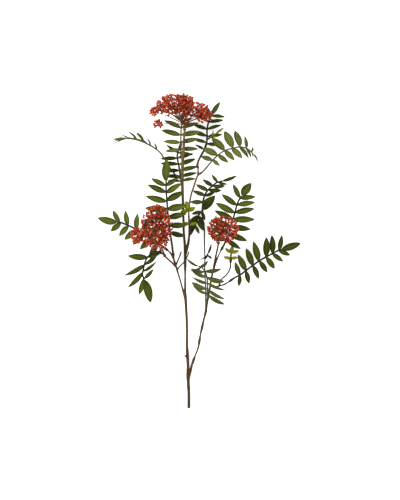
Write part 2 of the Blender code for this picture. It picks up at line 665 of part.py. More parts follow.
def build_head(name, head, parts, rig):
    """One head of berries: a stalk, arms from its top, and a spray of stalked berries on each arm."""
    draw = random.Random(head.seed)
    extras = extras_for(name)
    _, points = stalk_points(head.route, [])
    radii = [between(HEAD_STALK_RADII, i / (len(points) - 1)) for i in range(len(points))]
    stalk = tube(name, points, radii, 0, parts)
    hub = points[-1]
    build_knob(name + "_hub", hub, HUB_RADIUS, extras)
    for clump in head.clumps:
        centre = Vector(clump.middle)
        sprays = [[] for _ in range(clump.arms)]
        heads = [centre + stretch(way, clump.halves) for way in spread(clump.arms, clump.lowest)]
        for way in spread(clump.berries, clump.lowest):
            berry = centre + draw.uniform(*BERRY_DEPTHS) * stretch(way, clump.halves)
            nearest = min(range(clump.arms), key=lambda i: (heads[i] - berry).length)
            sprays[nearest].append(berry)
        for spray in filter(None, sprays):
            mean = sum(spray, Vector()) / len(spray)
            fork = hub.lerp(mean, FORK_SHARE if clump.arms > 1 else LONE_FORK_SHARE)
            rod(name + "_arm", hub, fork, ARM_RADII, ARM_SIDES, extras)
            build_knob(name + "_knob", fork, KNOB_RADIUS, extras)
            for berry in spray:
                build_berry(name + "_berry", fork, berry, extras)
    fuse(stalk, extras)
    stalk.name = name
    finish(stalk, name, "berry", rig)


def main():
    """Clear the scene and build the branch."""
    for old in list(bpy.data.objects):
        bpy.data.objects.remove(old)
    parts = bpy.data.collections.new("rowan_berry_sprig")
    bpy.context.scene.collection.children.link(parts)
    rig = object_of("rowan_berry_sprig_rig", None, parts)
    build_wood(parts, rig)
    for number, (name, leaf) in enumerate(LEAVES.items()):
        build_leaf(name, leaf, number, parts, rig)
    for name, head in HEADS.items():
        build_head(name, head, parts, rig)


main()
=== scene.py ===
"""A cut rowan branch with compound leaves and three heads of berries, lying on a pale studio floor.

Every piece here stands for one of the branch's solids and keeps its place, its reach and its form. Routes and
sizes are in millimetres, in the branch's own axes: +Y up the stem, +Z away from the floor. They are scaled
once, where a mesh is made.
"""

from __future__ import annotations

import json
import logging
import math
import random
from collections.abc import Iterable, Sequence
from dataclasses import dataclass, field
from enum import Enum
from itertools import product

import bmesh
import bpy
from mathutils import Matrix, Quaternion, Vector, kdtree, noise

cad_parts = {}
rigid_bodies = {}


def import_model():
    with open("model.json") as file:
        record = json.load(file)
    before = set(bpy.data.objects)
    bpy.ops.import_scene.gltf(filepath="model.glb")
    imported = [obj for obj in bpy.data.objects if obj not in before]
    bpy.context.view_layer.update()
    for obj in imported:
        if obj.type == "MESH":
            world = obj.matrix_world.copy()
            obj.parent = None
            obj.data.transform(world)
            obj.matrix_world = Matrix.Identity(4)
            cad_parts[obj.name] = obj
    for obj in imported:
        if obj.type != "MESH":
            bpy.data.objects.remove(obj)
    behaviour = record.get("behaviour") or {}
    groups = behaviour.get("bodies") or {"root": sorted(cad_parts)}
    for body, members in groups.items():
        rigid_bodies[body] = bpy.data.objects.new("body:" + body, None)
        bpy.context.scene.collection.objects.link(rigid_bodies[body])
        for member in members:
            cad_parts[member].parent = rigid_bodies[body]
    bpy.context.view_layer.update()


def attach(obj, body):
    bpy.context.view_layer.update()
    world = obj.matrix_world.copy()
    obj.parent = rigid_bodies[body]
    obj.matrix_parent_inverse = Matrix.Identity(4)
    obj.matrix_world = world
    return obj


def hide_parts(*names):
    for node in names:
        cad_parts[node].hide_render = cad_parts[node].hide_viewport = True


LOG = logging.getLogger("rowan")

MM = 0.001
BODY = "root"

# Stalks stand on spurs that grow from the wood, with their feet sunk into the spurs' ends
SPUR_REACH = 5.0
STALK_SINK = 0.9
STALK_FOOT_RADIUS = 2.35

# A place or colour, a pair of numbers, and a point of the wood with its radius and its bark's colour
Point = tuple[float, ...]
Span = tuple[float, float]
Mark = tuple[Vector, float, list[float]]


class Shelf(Enum):
    """Where the patterns are kept that stand on the stalks and on the bark."""

    TOOTHED = "toothed"
    PLAIN = "plain"
    BERRIES = "berries"
    PORES = "pores"


class LeafTint(Enum):
    """The leaf colours of the branch, named after the record's slots."""

    DARK = "leaf_dark"
    OLIVE = "leaf_olive"
    YOUNG = "leaf_young"


class WoodTint(Enum):
    """The bark colours along the branch, as they look in daylight."""

    STONY = (50, 46, 34)
    RUSTY = (70, 44, 18)
    MOSSY = (66, 54, 26)
    DUSKY = (58, 46, 26)
    TAN = (90, 71, 40)
    RUDDY = (76, 50, 28)
    OLIVE = (38, 36, 20)
    DARK = (42, 31, 24)
    PLUM = (74, 52, 46)


def linear(colour: Sequence[float]) -> tuple[float, float, float, float]:
    """Turn a colour as it looks, 0 to 255, into the light values that a shader takes.

    Args:
        colour: red, green and blue.

    Returns:
        The three linear values and an alpha of one.
    """
    shares = [part / 255 for part in colour]
    low = [s / 12.92 if s <= 0.04045 else ((s + 0.055) / 1.055) ** 2.4 for s in shares]
    return (low[0], low[1], low[2], 1.0)


@dataclass(frozen=True)
class Twig:
    """One stretch of wood: its route as (x, y, z, radius) from foot to tip, and its bark."""

    route: tuple[Point, ...]
    tints: tuple[WoodTint, ...]

    def tint(self, share: float) -> list[float]:
        """The bark's colour at a share of the way from foot to tip.

        Args:
            share: the share, from 0 to 1.

        Returns:
            The colour's three light values and an alpha of one.
        """
        colours = [linear(tint.value) for tint in self.tints]
        place = share * (len(colours) - 1)
        low = min(int(place), max(0, len(colours) - 2))
        near, far = colours[low], colours[min(low + 1, len(colours) - 1)]
        return [a + (b - a) * (place - low) for a, b in zip(near, far)]


@dataclass(frozen=True)
class Clump:
    """A round form that berries cover: its middle, its half sizes, how many berries and how many arms.

    The berries lie where the cosine along +Y is above the lowest one, so -1 covers the form all round.
    """

    middle: Point
    halves: Point
    berries: int
    arms: int
    lowest: float


TWIGS: dict[str, Twig] = {
    "main_stem": Twig(
        route=((0, -24, 2.4, 3.1), (0, 6, 2.4, 3.1), (-1, 30, 2.6, 3.2), (-2, 48, 3.6, 3.5),
               (-2, 71, 6, 3.0), (-3, 98, 9, 3.3), (-4, 118, 11, 2.8), (-4, 152, 14, 2.8),
               (-5, 186, 17, 2.9), (-7, 220, 20.5, 3.1), (-8, 247, 23, 2.6), (-8, 276, 26, 2.2),
               (-8, 298, 28.5, 2.9), (-8, 321, 31, 3.0), (-9, 347, 33.5, 2.7), (-11, 372, 36, 2.5),
               (-12, 410, 40, 2.6), (-13, 443, 43.5, 2.8), (-14, 476, 46.5, 3.0), (-14, 510, 49, 3.1),
               (-13, 536, 50.5, 3.1), (-11, 563, 52, 2.8), (-10, 585, 52.5, 2.5), (-9, 598, 52.8, 2.2)),
        tints=(WoodTint.STONY, WoodTint.RUSTY, WoodTint.RUSTY, WoodTint.MOSSY, WoodTint.MOSSY,
               WoodTint.DUSKY, WoodTint.DUSKY, WoodTint.TAN, WoodTint.TAN, WoodTint.TAN)),
    "right_branch": Twig(
        route=((-1, 42, 3.2, 2.6), (3, 57, 4.5, 2.9), (7, 73, 6.5, 2.5), (11, 85, 8, 3.0),
               (15, 96, 9.5, 2.0), (21, 112, 11, 2.2), (24, 128, 12.5, 3.0), (26, 141, 14, 2.2),
               (30, 159, 16, 3.0), (34, 177, 18, 2.4), (38, 193, 20, 3.0), (41, 213, 22, 2.6),
               (46, 240, 25, 2.3), (51, 269, 29, 2.3), (56, 294, 32.5, 2.3), (60, 316, 36, 2.2),
               (64, 334, 39, 2.2), (66, 346, 42, 2.0)),
        tints=(WoodTint.RUSTY, WoodTint.DUSKY, WoodTint.MOSSY, WoodTint.RUDDY)),
    "inner_twig": Twig(
        route=((38, 195, 20, 1.8), (38, 220, 20.5, 1.8), (38, 247, 20.5, 1.7), (36, 282, 21, 1.7),
               (36, 320, 22, 1.7), (35, 354, 24, 1.8), (35, 379, 27, 1.8), (32, 396, 30, 1.7),
               (30, 411, 32.5, 1.6)),
        tints=(WoodTint.OLIVE,)),
    "left_branch": Twig(
        route=((-7, 220, 20.5, 2.4), (-11, 233, 22, 2.4), (-15, 249, 23.5, 2.2), (-21, 270, 25.5, 2.1),
               (-26, 287, 27, 2.3), (-29, 297, 28.5, 2.2), (-32, 307, 30, 2.0), (-34, 317, 32, 1.8)),
        tints=(WoodTint.RUDDY,)),
    "left_front_twig": Twig(
        route=((-29, 295, 28, 2.1), (-38, 304, 31, 2.1), (-46, 311, 34, 2.0), (-53, 318, 38, 1.9),
               (-58, 324, 42, 1.7)),
        tints=(WoodTint.RUDDY,)),
    "left_back_twig": Twig(
        route=((-31, 304, 29.5, 1.9), (-36, 316, 28.5, 1.8), (-41, 325, 27.5, 1.8), (-47, 331, 27, 1.7)),
        tints=(WoodTint.DARK,)),
    "left_bare_twig": Twig(
        route=((-29, 297, 28.5, 1.6), (-24, 309, 28.5, 1.6), (-20, 318, 29, 1.6), (-17, 328, 29, 1.7)),
        tints=(WoodTint.DARK,)),
    "crossing_twig": Twig(
        route=((-26, 287, 27, 1.6), (-21, 294, 25, 1.5), (-15, 300, 22.5, 1.5), (-8, 308, 21, 1.5),
               (-3, 318, 20.5, 1.5), (0, 328, 21, 1.6)),
        tints=(WoodTint.DARK,)),
    "second_stem": Twig(
        route=((-8, 318, 30.5, 2.4), (-4, 334, 32, 2.8), (-1, 347, 33.5, 2.8), (1, 363, 34, 2.4),
               (1, 385, 34.5, 2.0), (0, 412, 35, 1.9), (2, 437, 36, 1.9), (6, 457, 37, 1.9),
               (12, 475, 38, 1.9), (17, 491, 39, 1.9), (21, 499, 40, 2.1)),
        tints=(WoodTint.MOSSY, WoodTint.DUSKY, WoodTint.TAN)),
    "high_twig": Twig(
        route=((21, 498, 39.5, 1.9), (21, 515, 38, 1.8), (21, 528, 36, 1.7), (26, 542, 33, 1.5),
               (33, 555, 31, 1.3), (38, 569, 30, 1.2), (41, 578, 30, 1.1)),
        tints=(WoodTint.PLUM, WoodTint.DARK)),
    "right_low_twig": Twig(
        route=((48, 251, 26.5, 1.8), (56, 250, 27, 1.6), (67, 251, 28, 1.6), (77, 254, 29, 1.9),
               (84, 257, 29.5, 2.0), (90, 261, 29.8, 1.5)),
        tints=(WoodTint.DARK,)),
    "right_thin_twig": Twig(
        route=((68, 252, 28, 1.8), (71, 262, 29, 1.8), (75, 268, 30, 1.8), (83, 275, 31, 1.8),
               (89, 283, 32, 1.8), (93, 294, 33, 1.8), (93, 304, 34, 1.7)),
        tints=(WoodTint.DARK,)),
    "right_high_twig": Twig(
        route=((56, 290, 32, 1.8), (62, 307, 35, 1.7), (67, 321, 38, 1.7), (72, 331, 40, 1.7)),
        tints=(WoodTint.OLIVE,)),
    "broken_stub": Twig(
        route=((-3, 87, 7.5, 1.8), (-6, 92, 9, 1.6), (-10, 95, 10, 1.5)),
        tints=(WoodTint.DARK,)),
}


def bake(piece: bpy.types.Object) -> None:
    """Turn what the modifiers make of a piece into its own plain mesh.

    Args:
        piece: the object whose modifiers are applied and removed.
    """
    bpy.context.view_layer.update()
    graph = bpy.context.evaluated_depsgraph_get()
    mesh = bpy.data.meshes.new_from_object(
        piece.evaluated_get(graph), preserve_all_data_layers=True, depsgraph=graph)
    piece.modifiers.clear()
    piece.data = mesh


def stand(name: str, mesh: bpy.types.Mesh) -> bpy.types.Object:
    """Put a mesh into the scene as an object at the origin.

    Args:
        name: the object's name.
        mesh: its mesh.

    Returns:
        The new object.
    """
    piece = bpy.data.objects.new(name, mesh)
    bpy.context.scene.collection.objects.link(piece)
    return piece


def triangles(piece: bpy.types.Object) -> int:
    """How many triangles a piece has."""
    return sum(len(face.vertices) - 2 for face in piece.data.polygons)


class Route:
    """A smooth curve through given points, read by distance from its foot."""

    PIECES = 12

    def __init__(self, points: Sequence[Point]) -> None:
        """Lay the curve.

        Args:
            points: (x, y, z) or (x, y, z, radius), in millimetres.
        """
        knots = [Vector(point[:3]) for point in points]
        knots.insert(0, 2 * knots[0] - knots[1])
        knots.append(2 * knots[-1] - knots[-2])
        self.points: list[Vector] = []
        for a, b, c, d in zip(knots, knots[1:], knots[2:], knots[3:]):
            for step in range(self.PIECES):
                self.points.append(self.between(a, b, c, d, step / self.PIECES))
        self.points.append(knots[-2])
        self.marks = [0.0]
        for low, high in zip(self.points, self.points[1:]):
            self.marks.append(self.marks[-1] + (high - low).length)
        self.length = self.marks[-1]
        self.radii = [point[3] for point in points if len(point) > 3]

    @staticmethod
    def between(a: Vector, b: Vector, c: Vector, d: Vector, t: float) -> Vector:
        """A point between b and c on the smooth curve through a, b, c and d."""
        bend, swing = 2 * a - 5 * b + 4 * c - d, 3 * b - a - 3 * c + d
        return 0.5 * (2 * b + (c - a) * t + bend * t**2 + swing * t**3)

    def at(self, distance: float) -> Vector:
        """The point of the curve at a distance.

        Args:
            distance: how far from the foot, in millimetres.

        Returns:
            The point there, or the nearer end where the distance is off the curve.
        """
        distance = min(max(distance, 0.0), self.length)
        for index in range(1, len(self.marks)):
            if distance <= self.marks[index]:
                span = self.marks[index] - self.marks[index - 1]
                share = (distance - self.marks[index - 1]) / span
                return self.points[index - 1].lerp(self.points[index], share)
        return self.points[-1].copy()

    def along(self, distance: float) -> Vector:
        """The direction of the curve there."""
        return (self.at(distance + 1.0) - self.at(distance - 1.0)).normalized()

    def radius(self, distance: float) -> float:
        """The radius at a distance, eased from one given point to the next.

        Args:
            distance: how far from the foot, in millimetres.

        Returns:
            The radius in millimetres.
        """
        knot_marks = self.marks[:: self.PIECES]
        for index in range(1, len(knot_marks)):
            if distance <= knot_marks[index]:
                share = (distance - knot_marks[index - 1]) / (knot_marks[index] - knot_marks[index - 1])
                eased = share * share * (3 - 2 * share)
                return self.radii[index - 1] + (self.radii[index] - self.radii[index - 1]) * eased
        return self.radii[-1]

    def spur(self) -> tuple[Vector, Vector, Vector]:
        """Where a stalk leaves the wood.

        Returns:
            Its seat in the twig, the spur's end and the way it points.
        """
        seat = self.at(0.0)
        way = (self.at(SPUR_REACH) - seat).normalized()
        return seat, seat + way * SPUR_REACH, way


class NodeSheet:
    """A node tree, written node by node."""

    def __init__(self, tree: bpy.types.NodeTree) -> None:
        """Start to write on a tree."""
        self.tree = tree

    def feed(self, entry: bpy.types.NodeSocket, value: object) -> None:
        """Give an input its value.

        Args:
            entry: the input.
            value: the socket that feeds it or its plain value.
        """
        if isinstance(value, bpy.types.NodeSocket):
            self.tree.links.new(value, entry)
        else:
            entry.default_value = value

    def add(self, kind: str, wires: dict[str | int, object], **settings: object) -> bpy.types.Node:
        """Add a node.

        Args:
            kind: the node's type.
            wires: for each input, the socket that feeds it or its plain value.
            settings: the node's own options.

        Returns:
            The new node.
        """
        node = self.tree.nodes.new(kind)
        for option, value in settings.items():
            setattr(node, option, value)
        for label, value in wires.items():
            self.feed(node.inputs[label], value)
        return node


class TreeSheet(NodeSheet):
    """One Geometry Nodes tree, with named inputs that give it shapes and finishes."""

    def __init__(self, name: str, inputs: dict[str, str]) -> None:
        """Start the tree.

        Args:
            name: the tree's name.
            inputs: each input's label and its socket type.
        """
        super().__init__(bpy.data.node_groups.new(name, "GeometryNodeTree"))
        interface = self.tree.interface
        interface.new_socket("Geometry", in_out="INPUT", socket_type="NodeSocketGeometry")
        self.keys = {
            label: interface.new_socket(label, in_out="INPUT", socket_type=kind).identifier
            for label, kind in inputs.items()
        }
        interface.new_socket("Geometry", in_out="OUTPUT", socket_type="NodeSocketGeometry")
        self.source = self.tree.nodes.new("NodeGroupInput").outputs
        self.exit = self.tree.nodes.new("NodeGroupOutput")

    def named(self, name: str, kind: str) -> bpy.types.NodeSocket:
        """The value of a named attribute."""
        node = self.add("GeometryNodeInputNamedAttribute", {"Name": name}, data_type=kind)
        return node.outputs["Attribute"]

    def dressed(self, geometry: bpy.types.NodeSocket, finish: str) -> bpy.types.NodeSocket:
        """The geometry in the finish that the input of that name gives."""
        wires = {"Geometry": geometry, "Material": self.source[finish]}
        return self.add("GeometryNodeSetMaterial", wires).outputs["Geometry"]

    def planted(self, points: bpy.types.NodeSocket, wires: dict[str, object]) -> bpy.types.NodeSocket:
        """Stand one of the input shapes on every point, as real geometry in its finish.

        Args:
            points: the points.
            wires: how the shapes are picked, turned and sized.

        Returns:
            The geometry of the shapes.
        """
        shapes = self.add("GeometryNodeCollectionInfo", {
            "Collection": self.source["Shapes"], "Separate Children": True, "Reset Children": True})
        placed = self.add("GeometryNodeInstanceOnPoints",
                          {"Points": points, "Instance": shapes.outputs["Instances"], **wires})
        real = self.add("GeometryNodeRealizeInstances", {"Geometry": placed.outputs["Instances"]})
        return self.dressed(real.outputs["Geometry"], "Shape finish")

    def grow(self, piece: bpy.types.Object, **values: object) -> None:
        """Run the tree on a piece and keep the result as a plain mesh.

        Args:
            piece: the object that the tree starts from.
            values: the tree's inputs, spaces in their labels written as underscores.
        """
        modifier = piece.modifiers.new(self.tree.name, "NODES")
        modifier.node_group = self.tree
        for label, value in values.items():
            modifier[self.keys[label.replace("_", " ")]] = value
        bake(piece)


def growth_tree() -> TreeSheet:
    """The tree that turns a guide into stalks and the blades or berries that stand on them.

    Returns:
        The tree. Chains of points become round stalks of the attribute girth, and loose points carry one of
        the shapes in the collection, turned and sized by their attributes.
    """
    sheet = TreeSheet("growth", {
        "Shapes": "NodeSocketCollection",
        "Stalk sides": "NodeSocketInt",
        "Stalk finish": "NodeSocketMaterial",
        "Shape finish": "NodeSocketMaterial",
    })
    split = sheet.add("GeometryNodeSeparateGeometry",
                      {"Geometry": sheet.source["Geometry"], "Selection": sheet.named("seat", "BOOLEAN")},
                      domain="POINT")
    chains = sheet.add("GeometryNodeMeshToCurve", {"Mesh": split.outputs["Inverted"]})
    share = sheet.add("GeometryNodeSplineParameter", {})
    marked = sheet.add("GeometryNodeStoreNamedAttribute",
                       {"Geometry": chains.outputs["Curve"], "Name": "along",
                        "Value": share.outputs["Factor"]}, data_type="FLOAT", domain="POINT")
    ring = sheet.add("GeometryNodeCurvePrimitiveCircle",
                     {"Resolution": sheet.source["Stalk sides"], "Radius": 1.0})
    tubes = sheet.add("GeometryNodeCurveToMesh",
                      {"Curve": marked.outputs["Geometry"], "Profile Curve": ring.outputs["Curve"],
                       "Scale": sheet.named("girth", "FLOAT"), "Fill Caps": True})
    soft = sheet.add("GeometryNodeSetShadeSmooth", {"Geometry": tubes.outputs["Mesh"], "Shade Smooth": True})
    stalks = sheet.dressed(soft.outputs["Geometry"], "Stalk finish")
    shapes = sheet.planted(split.outputs["Selection"], {
        "Pick Instance": True,
        "Instance Index": sheet.named("pick", "INT"),
        "Rotation": sheet.named("turn", "QUATERNION"),
        "Scale": sheet.named("size", "FLOAT_VECTOR"),
    })
    joined = sheet.add("GeometryNodeJoinGeometry", {})
    sheet.feed(joined.inputs["Geometry"], shapes)
    sheet.feed(joined.inputs["Geometry"], stalks)
    sheet.feed(sheet.exit.inputs["Geometry"], joined.outputs["Geometry"])
    return sheet


def scatter_tree() -> TreeSheet:
    """The tree that strews one small shape over the thicker wood.

    Returns:
        The tree, with inputs for the shapes, how close they stand, the least girth that carries them, the
        seed and the finish. The wood itself is left out of the result.
    """
    sheet = TreeSheet("scatter", {
        "Shapes": "NodeSocketCollection",
        "Density": "NodeSocketFloat",
        "Least girth": "NodeSocketFloat",
        "Seed": "NodeSocketInt",
        "Shape finish": "NodeSocketMaterial",
    })
    thick = sheet.add("FunctionNodeCompare",
                      {"A": sheet.named("girth", "FLOAT"), "B": sheet.source["Least girth"]},
                      data_type="FLOAT", operation="GREATER_THAN")
    strewn = sheet.add("GeometryNodeDistributePointsOnFaces",
                       {"Mesh": sheet.source["Geometry"], "Selection": thick.outputs["Result"],
                        "Density": sheet.source["Density"], "Seed": sheet.source["Seed"]})
    pores = sheet.planted(strewn.outputs["Points"], {"Rotation": strewn.outputs["Rotation"]})
    sheet.feed(sheet.exit.inputs["Geometry"], pores)
    return sheet


@dataclass
class Guide:
    """What the growth tree starts from: chains of points for stalks, a loose point for each shape."""

    places: list[Vector] = field(default_factory=list)
    links: list[tuple[int, int]] = field(default_factory=list)
    girth: list[float] = field(default_factory=list)
    seat: list[bool] = field(default_factory=list)
    turn: list[Quaternion] = field(default_factory=list)
    size: list[Vector] = field(default_factory=list)
    pick: list[int] = field(default_factory=list)
    tone: list[float] = field(default_factory=list)

    def put(self, place: Vector, girth: float, seat: bool, turn: Quaternion, size: Vector, pick: int,
            tone: float) -> None:
        """Add one point and all that the tree reads from it.

        Args:
            place: where it is, in millimetres.
            girth: the stalk's radius there, in millimetres.
            seat: whether a shape stands on it.
            turn: how that shape is turned.
            size: its sizes along its own axes, in millimetres.
            pick: which of the shapes it is.
            tone: its tone, from 0 to 1; on leaflets it is partly painted shade.
        """
        self.places.append(place * MM)
        self.girth.append(girth * MM)
        self.seat.append(seat)
        self.turn.append(turn)
        self.size.append(size * MM)
        self.pick.append(pick)
        self.tone.append(tone)

    def stalk(self, points: Iterable[Vector], radii: Iterable[float]) -> None:
        """Add a stalk.

        Args:
            points: its points from foot to tip, in millimetres.
            radii: its radius at each of them.
        """
        first = len(self.places)
        for point, radius in zip(points, radii):
            if len(self.places) > first:
                self.links.append((len(self.places) - 1, len(self.places)))
            self.put(point, radius, False, Quaternion(), Vector((1, 1, 1)), 0, 0.0)

    def shape(self, place: Vector, turn: Quaternion, size: Vector, pick: int, tone: float) -> None:
        """Add a blade or berry with its foot at a place."""
        self.put(place, 0.0, True, turn, size, pick, tone)

    def piece(self, name: str) -> bpy.types.Object:
        """Make the guide's object.

        Args:
            name: the name of the piece that grows from it.

        Returns:
            The object, ready for the growth tree.
        """
        mesh = bpy.data.meshes.new(name)
        mesh.from_pydata([tuple(place) for place in self.places], self.links, [])
        for label, kind, values in (
                ("girth", "FLOAT", self.girth), ("seat", "BOOLEAN", self.seat), ("pick", "INT", self.pick),
                ("tone", "FLOAT", self.tone)):
            mesh.attributes.new(label, kind, "POINT").data.foreach_set("value", values)
        turns = mesh.attributes.new("turn", "QUATERNION", "POINT")
        turns.data.foreach_set("value", [part for turn in self.turn for part in turn])
        sizes = mesh.attributes.new("size", "FLOAT_VECTOR", "POINT")
        sizes.data.foreach_set("vector", [part for size in self.size for part in size])
        return stand(name, mesh)


@dataclass(frozen=True)
class Pattern:
    """A noise fixed to a piece: its grains to a metre, where it starts and ends to show, its cover."""

    scale: float
    band: Span = (0.0, 1.0)
    share: float = 1.0
    detail: float = 2.0
    stretch: Point = (1.0, 1.0, 1.0)


class ShaderSheet(NodeSheet):
    """One material, and the sums and colours that its finish is made of."""

    RELIEF_STRENGTH = 0.8

    def __init__(self, name: str) -> None:
        """Start the material.

        Args:
            name: its name.
        """
        self.material = bpy.data.materials.new(name)
        self.material.use_nodes = True
        super().__init__(self.material.node_tree)
        self.surface = self.tree.nodes["Principled BSDF"].inputs

    def maths(self, operation: str, *values: object) -> bpy.types.NodeSocket:
        """The result of one sum on sockets or plain numbers."""
        return self.add("ShaderNodeMath", dict(enumerate(values)), operation=operation).outputs[0]

    def times(self, one: object, other: object) -> bpy.types.NodeSocket:
        """The product of two values."""
        return self.maths("MULTIPLY", one, other)

    def plus(self, one: object, other: object) -> bpy.types.NodeSocket:
        """The sum of two values."""
        return self.maths("ADD", one, other)

    def minus(self, one: object, other: object) -> bpy.types.NodeSocket:
        """The first value less the second."""
        return self.maths("SUBTRACT", one, other)

    def outward(self, share: object) -> bpy.types.NodeSocket:
        """How far a share from 0 to 1 is from its middle: 1 at both ends."""
        return self.maths("ABSOLUTE", self.minus(self.times(share, 2.0), 1.0))

    def blend(self, share: object, low: object, high: object) -> bpy.types.NodeSocket:
        """A colour between two others."""
        node = self.add("ShaderNodeMix", {0: share, 6: low, 7: high}, data_type="RGBA")
        return node.outputs[2]

    def stained(self, colour: object, stain: Point) -> bpy.types.NodeSocket:
        """A colour with each of its three lights made stronger or weaker."""
        wires = {0: 1.0, 6: colour, 7: (*stain, 1.0)}
        return self.add("ShaderNodeMix", wires, data_type="RGBA", blend_type="MULTIPLY").outputs[2]

    def ramp(self, value: object, low: float, high: float) -> bpy.types.NodeSocket:
        """A share that rises smoothly from 0 to 1 while the value goes from low to high."""
        wires = {"Value": value, "From Min": low, "From Max": high}
        return self.add("ShaderNodeMapRange", wires, interpolation_type="SMOOTHSTEP").outputs["Result"]

    def grain(self, pattern: Pattern) -> bpy.types.NodeSocket:
        """The noise of a pattern.

        Args:
            pattern: how fine, how detailed and how drawn out it is.

        Returns:
            The noise, from 0 to 1.
        """
        where = self.add("ShaderNodeTexCoord", {}).outputs["Object"]
        placed = self.add("ShaderNodeMapping", {"Vector": where, "Scale": pattern.stretch}).outputs["Vector"]
        node = self.add("ShaderNodeTexNoise",
                        {"Vector": placed, "Scale": pattern.scale, "Detail": pattern.detail})
        return node.outputs["Fac"]

    def overlaid(self, base: object, over: object, noise: object, pattern: Pattern) -> bpy.types.NodeSocket:
        """Lay a colour over another where a noise is high.

        Args:
            base: the colour below.
            over: the colour above.
            noise: the pattern's noise.
            pattern: where the noise starts and ends to show, and how much it covers.

        Returns:
            The mottled colour.
        """
        cover = self.ramp(noise, *pattern.band)
        if pattern.share < 1.0:
            cover = self.times(cover, pattern.share)
        return self.blend(cover, base, over)

    def value(self, name: str) -> bpy.types.NodeSocket:
        """A number that the piece carries as an attribute."""
        return self.add("ShaderNodeAttribute", {}, attribute_name=name).outputs["Fac"]

    def finish(self, colour: object, roughness: object, height: object, depth: float,
               specular: float) -> bpy.types.Material:
        """Feed the surface.

        Args:
            colour: the base colour.
            roughness: how dull it is.
            height: the relief, from 0 to 1.
            depth: how deep that relief is, in metres.
            specular: how much it shines.

        Returns:
            The finished material.
        """
        relief = self.add("ShaderNodeBump",
                          {"Height": height, "Distance": depth, "Strength": self.RELIEF_STRENGTH})
        for label, value in (("Normal", relief.outputs["Normal"]), ("Specular IOR Level", specular),
                             ("Base Color", colour), ("Roughness", roughness)):
            self.feed(self.surface[label], value)
        return self.material


@dataclass(frozen=True)
class BladeFinish:
    """A leaf blade: darker between its veins, paler along them, with a duller underside, and painted shade.
    """

    name: str
    dark: Point
    light: Point
    rib: Point
    under: Point
    blush: Point
    veins: float = 9.0
    vein_lean: float = 0.16
    vein_band: Span = (0.72, 1.0)
    vein_share: float = 0.28
    under_vein_share: float = 0.4
    rib_band: Span = (0.03, 0.13)
    rib_share: float = 0.62
    mottle: Pattern = Pattern(90.0, share=0.5, detail=3.0)
    tone_share: float = 0.75
    shade_band: Span = (0.1, 1.0)
    # Painted shade: each leaflet is painted darker towards its edges and its foot, lighter in its open middle
    painted_shade_edge_band: Span = (0.9, 0.5)
    painted_shade_foot_band: Span = (0.02, 0.4)
    painted_edge_light: float = 0.35
    painted_middle_light: float = 0.75
    patches: Pattern = Pattern(26.0, (0.56, 0.72), 0.6)
    dullness: float = 0.5
    dull_spread: float = 0.16
    bulge: float = 0.7
    skin: Pattern = Pattern(1400.0, share=0.25)
    depth: float = 0.00035
    gloss: float = 0.07

    def material(self) -> bpy.types.Material:
        """Write the material, which reads the blade's own map: u across it and v along it.

        Returns:
            The material.
        """
        sheet = ShaderSheet(self.name)
        place = sheet.add("ShaderNodeUVMap", {}, uv_map="blade").outputs["UV"]
        split = sheet.add("ShaderNodeSeparateXYZ", {"Vector": place}).outputs
        across = sheet.outward(split["X"])
        lean = sheet.minus(split["Y"], sheet.times(across, self.vein_lean))
        beat = sheet.maths("FRACT", sheet.times(lean, self.veins))
        vein = sheet.ramp(sheet.outward(beat), *self.vein_band)
        rib = sheet.minus(1.0, sheet.ramp(across, *self.rib_band))
        mottle = sheet.grain(self.mottle)
        # Random mottle and the leaf's tone, which is partly painted shade
        shade = sheet.plus(sheet.times(mottle, self.mottle.share),
                           sheet.times(sheet.value("tone"), self.tone_share))
        # Painted shade: darker towards the leaflet's edges and foot, lighter in its open middle
        painted_lit_part = sheet.times(sheet.ramp(across, *self.painted_shade_edge_band), sheet.ramp(split["Y"], *self.painted_shade_foot_band))
        light = sheet.plus(self.painted_edge_light, sheet.times(painted_lit_part, self.painted_middle_light))
        lit = sheet.times(sheet.ramp(shade, *self.shade_band), light)
        body = sheet.blend(lit, linear(self.dark), linear(self.light))
        body = sheet.overlaid(body, linear(self.blush), sheet.grain(self.patches), self.patches)
        body = sheet.blend(sheet.times(vein, self.vein_share), body, linear(self.rib))
        body = sheet.blend(sheet.times(rib, self.rib_share), body, linear(self.rib))
        under_lines = sheet.maths("MAXIMUM", sheet.times(vein, self.under_vein_share), rib)
        under = sheet.blend(under_lines, linear(self.under), linear(self.rib))
        colour = sheet.blend(sheet.value("upper"), under, body)
        dull = sheet.plus(self.dullness, sheet.times(mottle, self.dull_spread))
        bulge = sheet.times(sheet.minus(1.0, vein), self.bulge)
        relief = sheet.plus(bulge, sheet.times(sheet.grain(self.skin), self.skin.share))
        return sheet.finish(colour, dull, relief, self.depth, self.gloss)


@dataclass(frozen=True)
class StalkFinish:
    """A stalk: one colour at its foot, another along it, finely streaked."""

    name: str
    foot: Point
    tip: Point
    foot_share: float
    streaks: Pattern = Pattern(520.0, (0.45, 0.7), 0.35, 3.0, (1.0, 0.35, 1.0))
    streak_dark: float = 0.6
    dullness: float = 0.6
    depth: float = 0.0002
    gloss: float = 0.12

    def material(self) -> bpy.types.Material:
        """Write the material, which reads how far along the stalk it is.

        Returns:
            The material.
        """
        sheet = ShaderSheet(self.name)
        streak = sheet.grain(self.streaks)
        rise = sheet.ramp(sheet.value("along"), 0.0, self.foot_share)
        base = sheet.blend(rise, linear(self.foot), linear(self.tip))
        dark = linear([part * self.streak_dark for part in self.tip])
        colour = sheet.overlaid(base, dark, streak, self.streaks)
        return sheet.finish(colour, self.dullness, streak, self.depth, self.gloss)


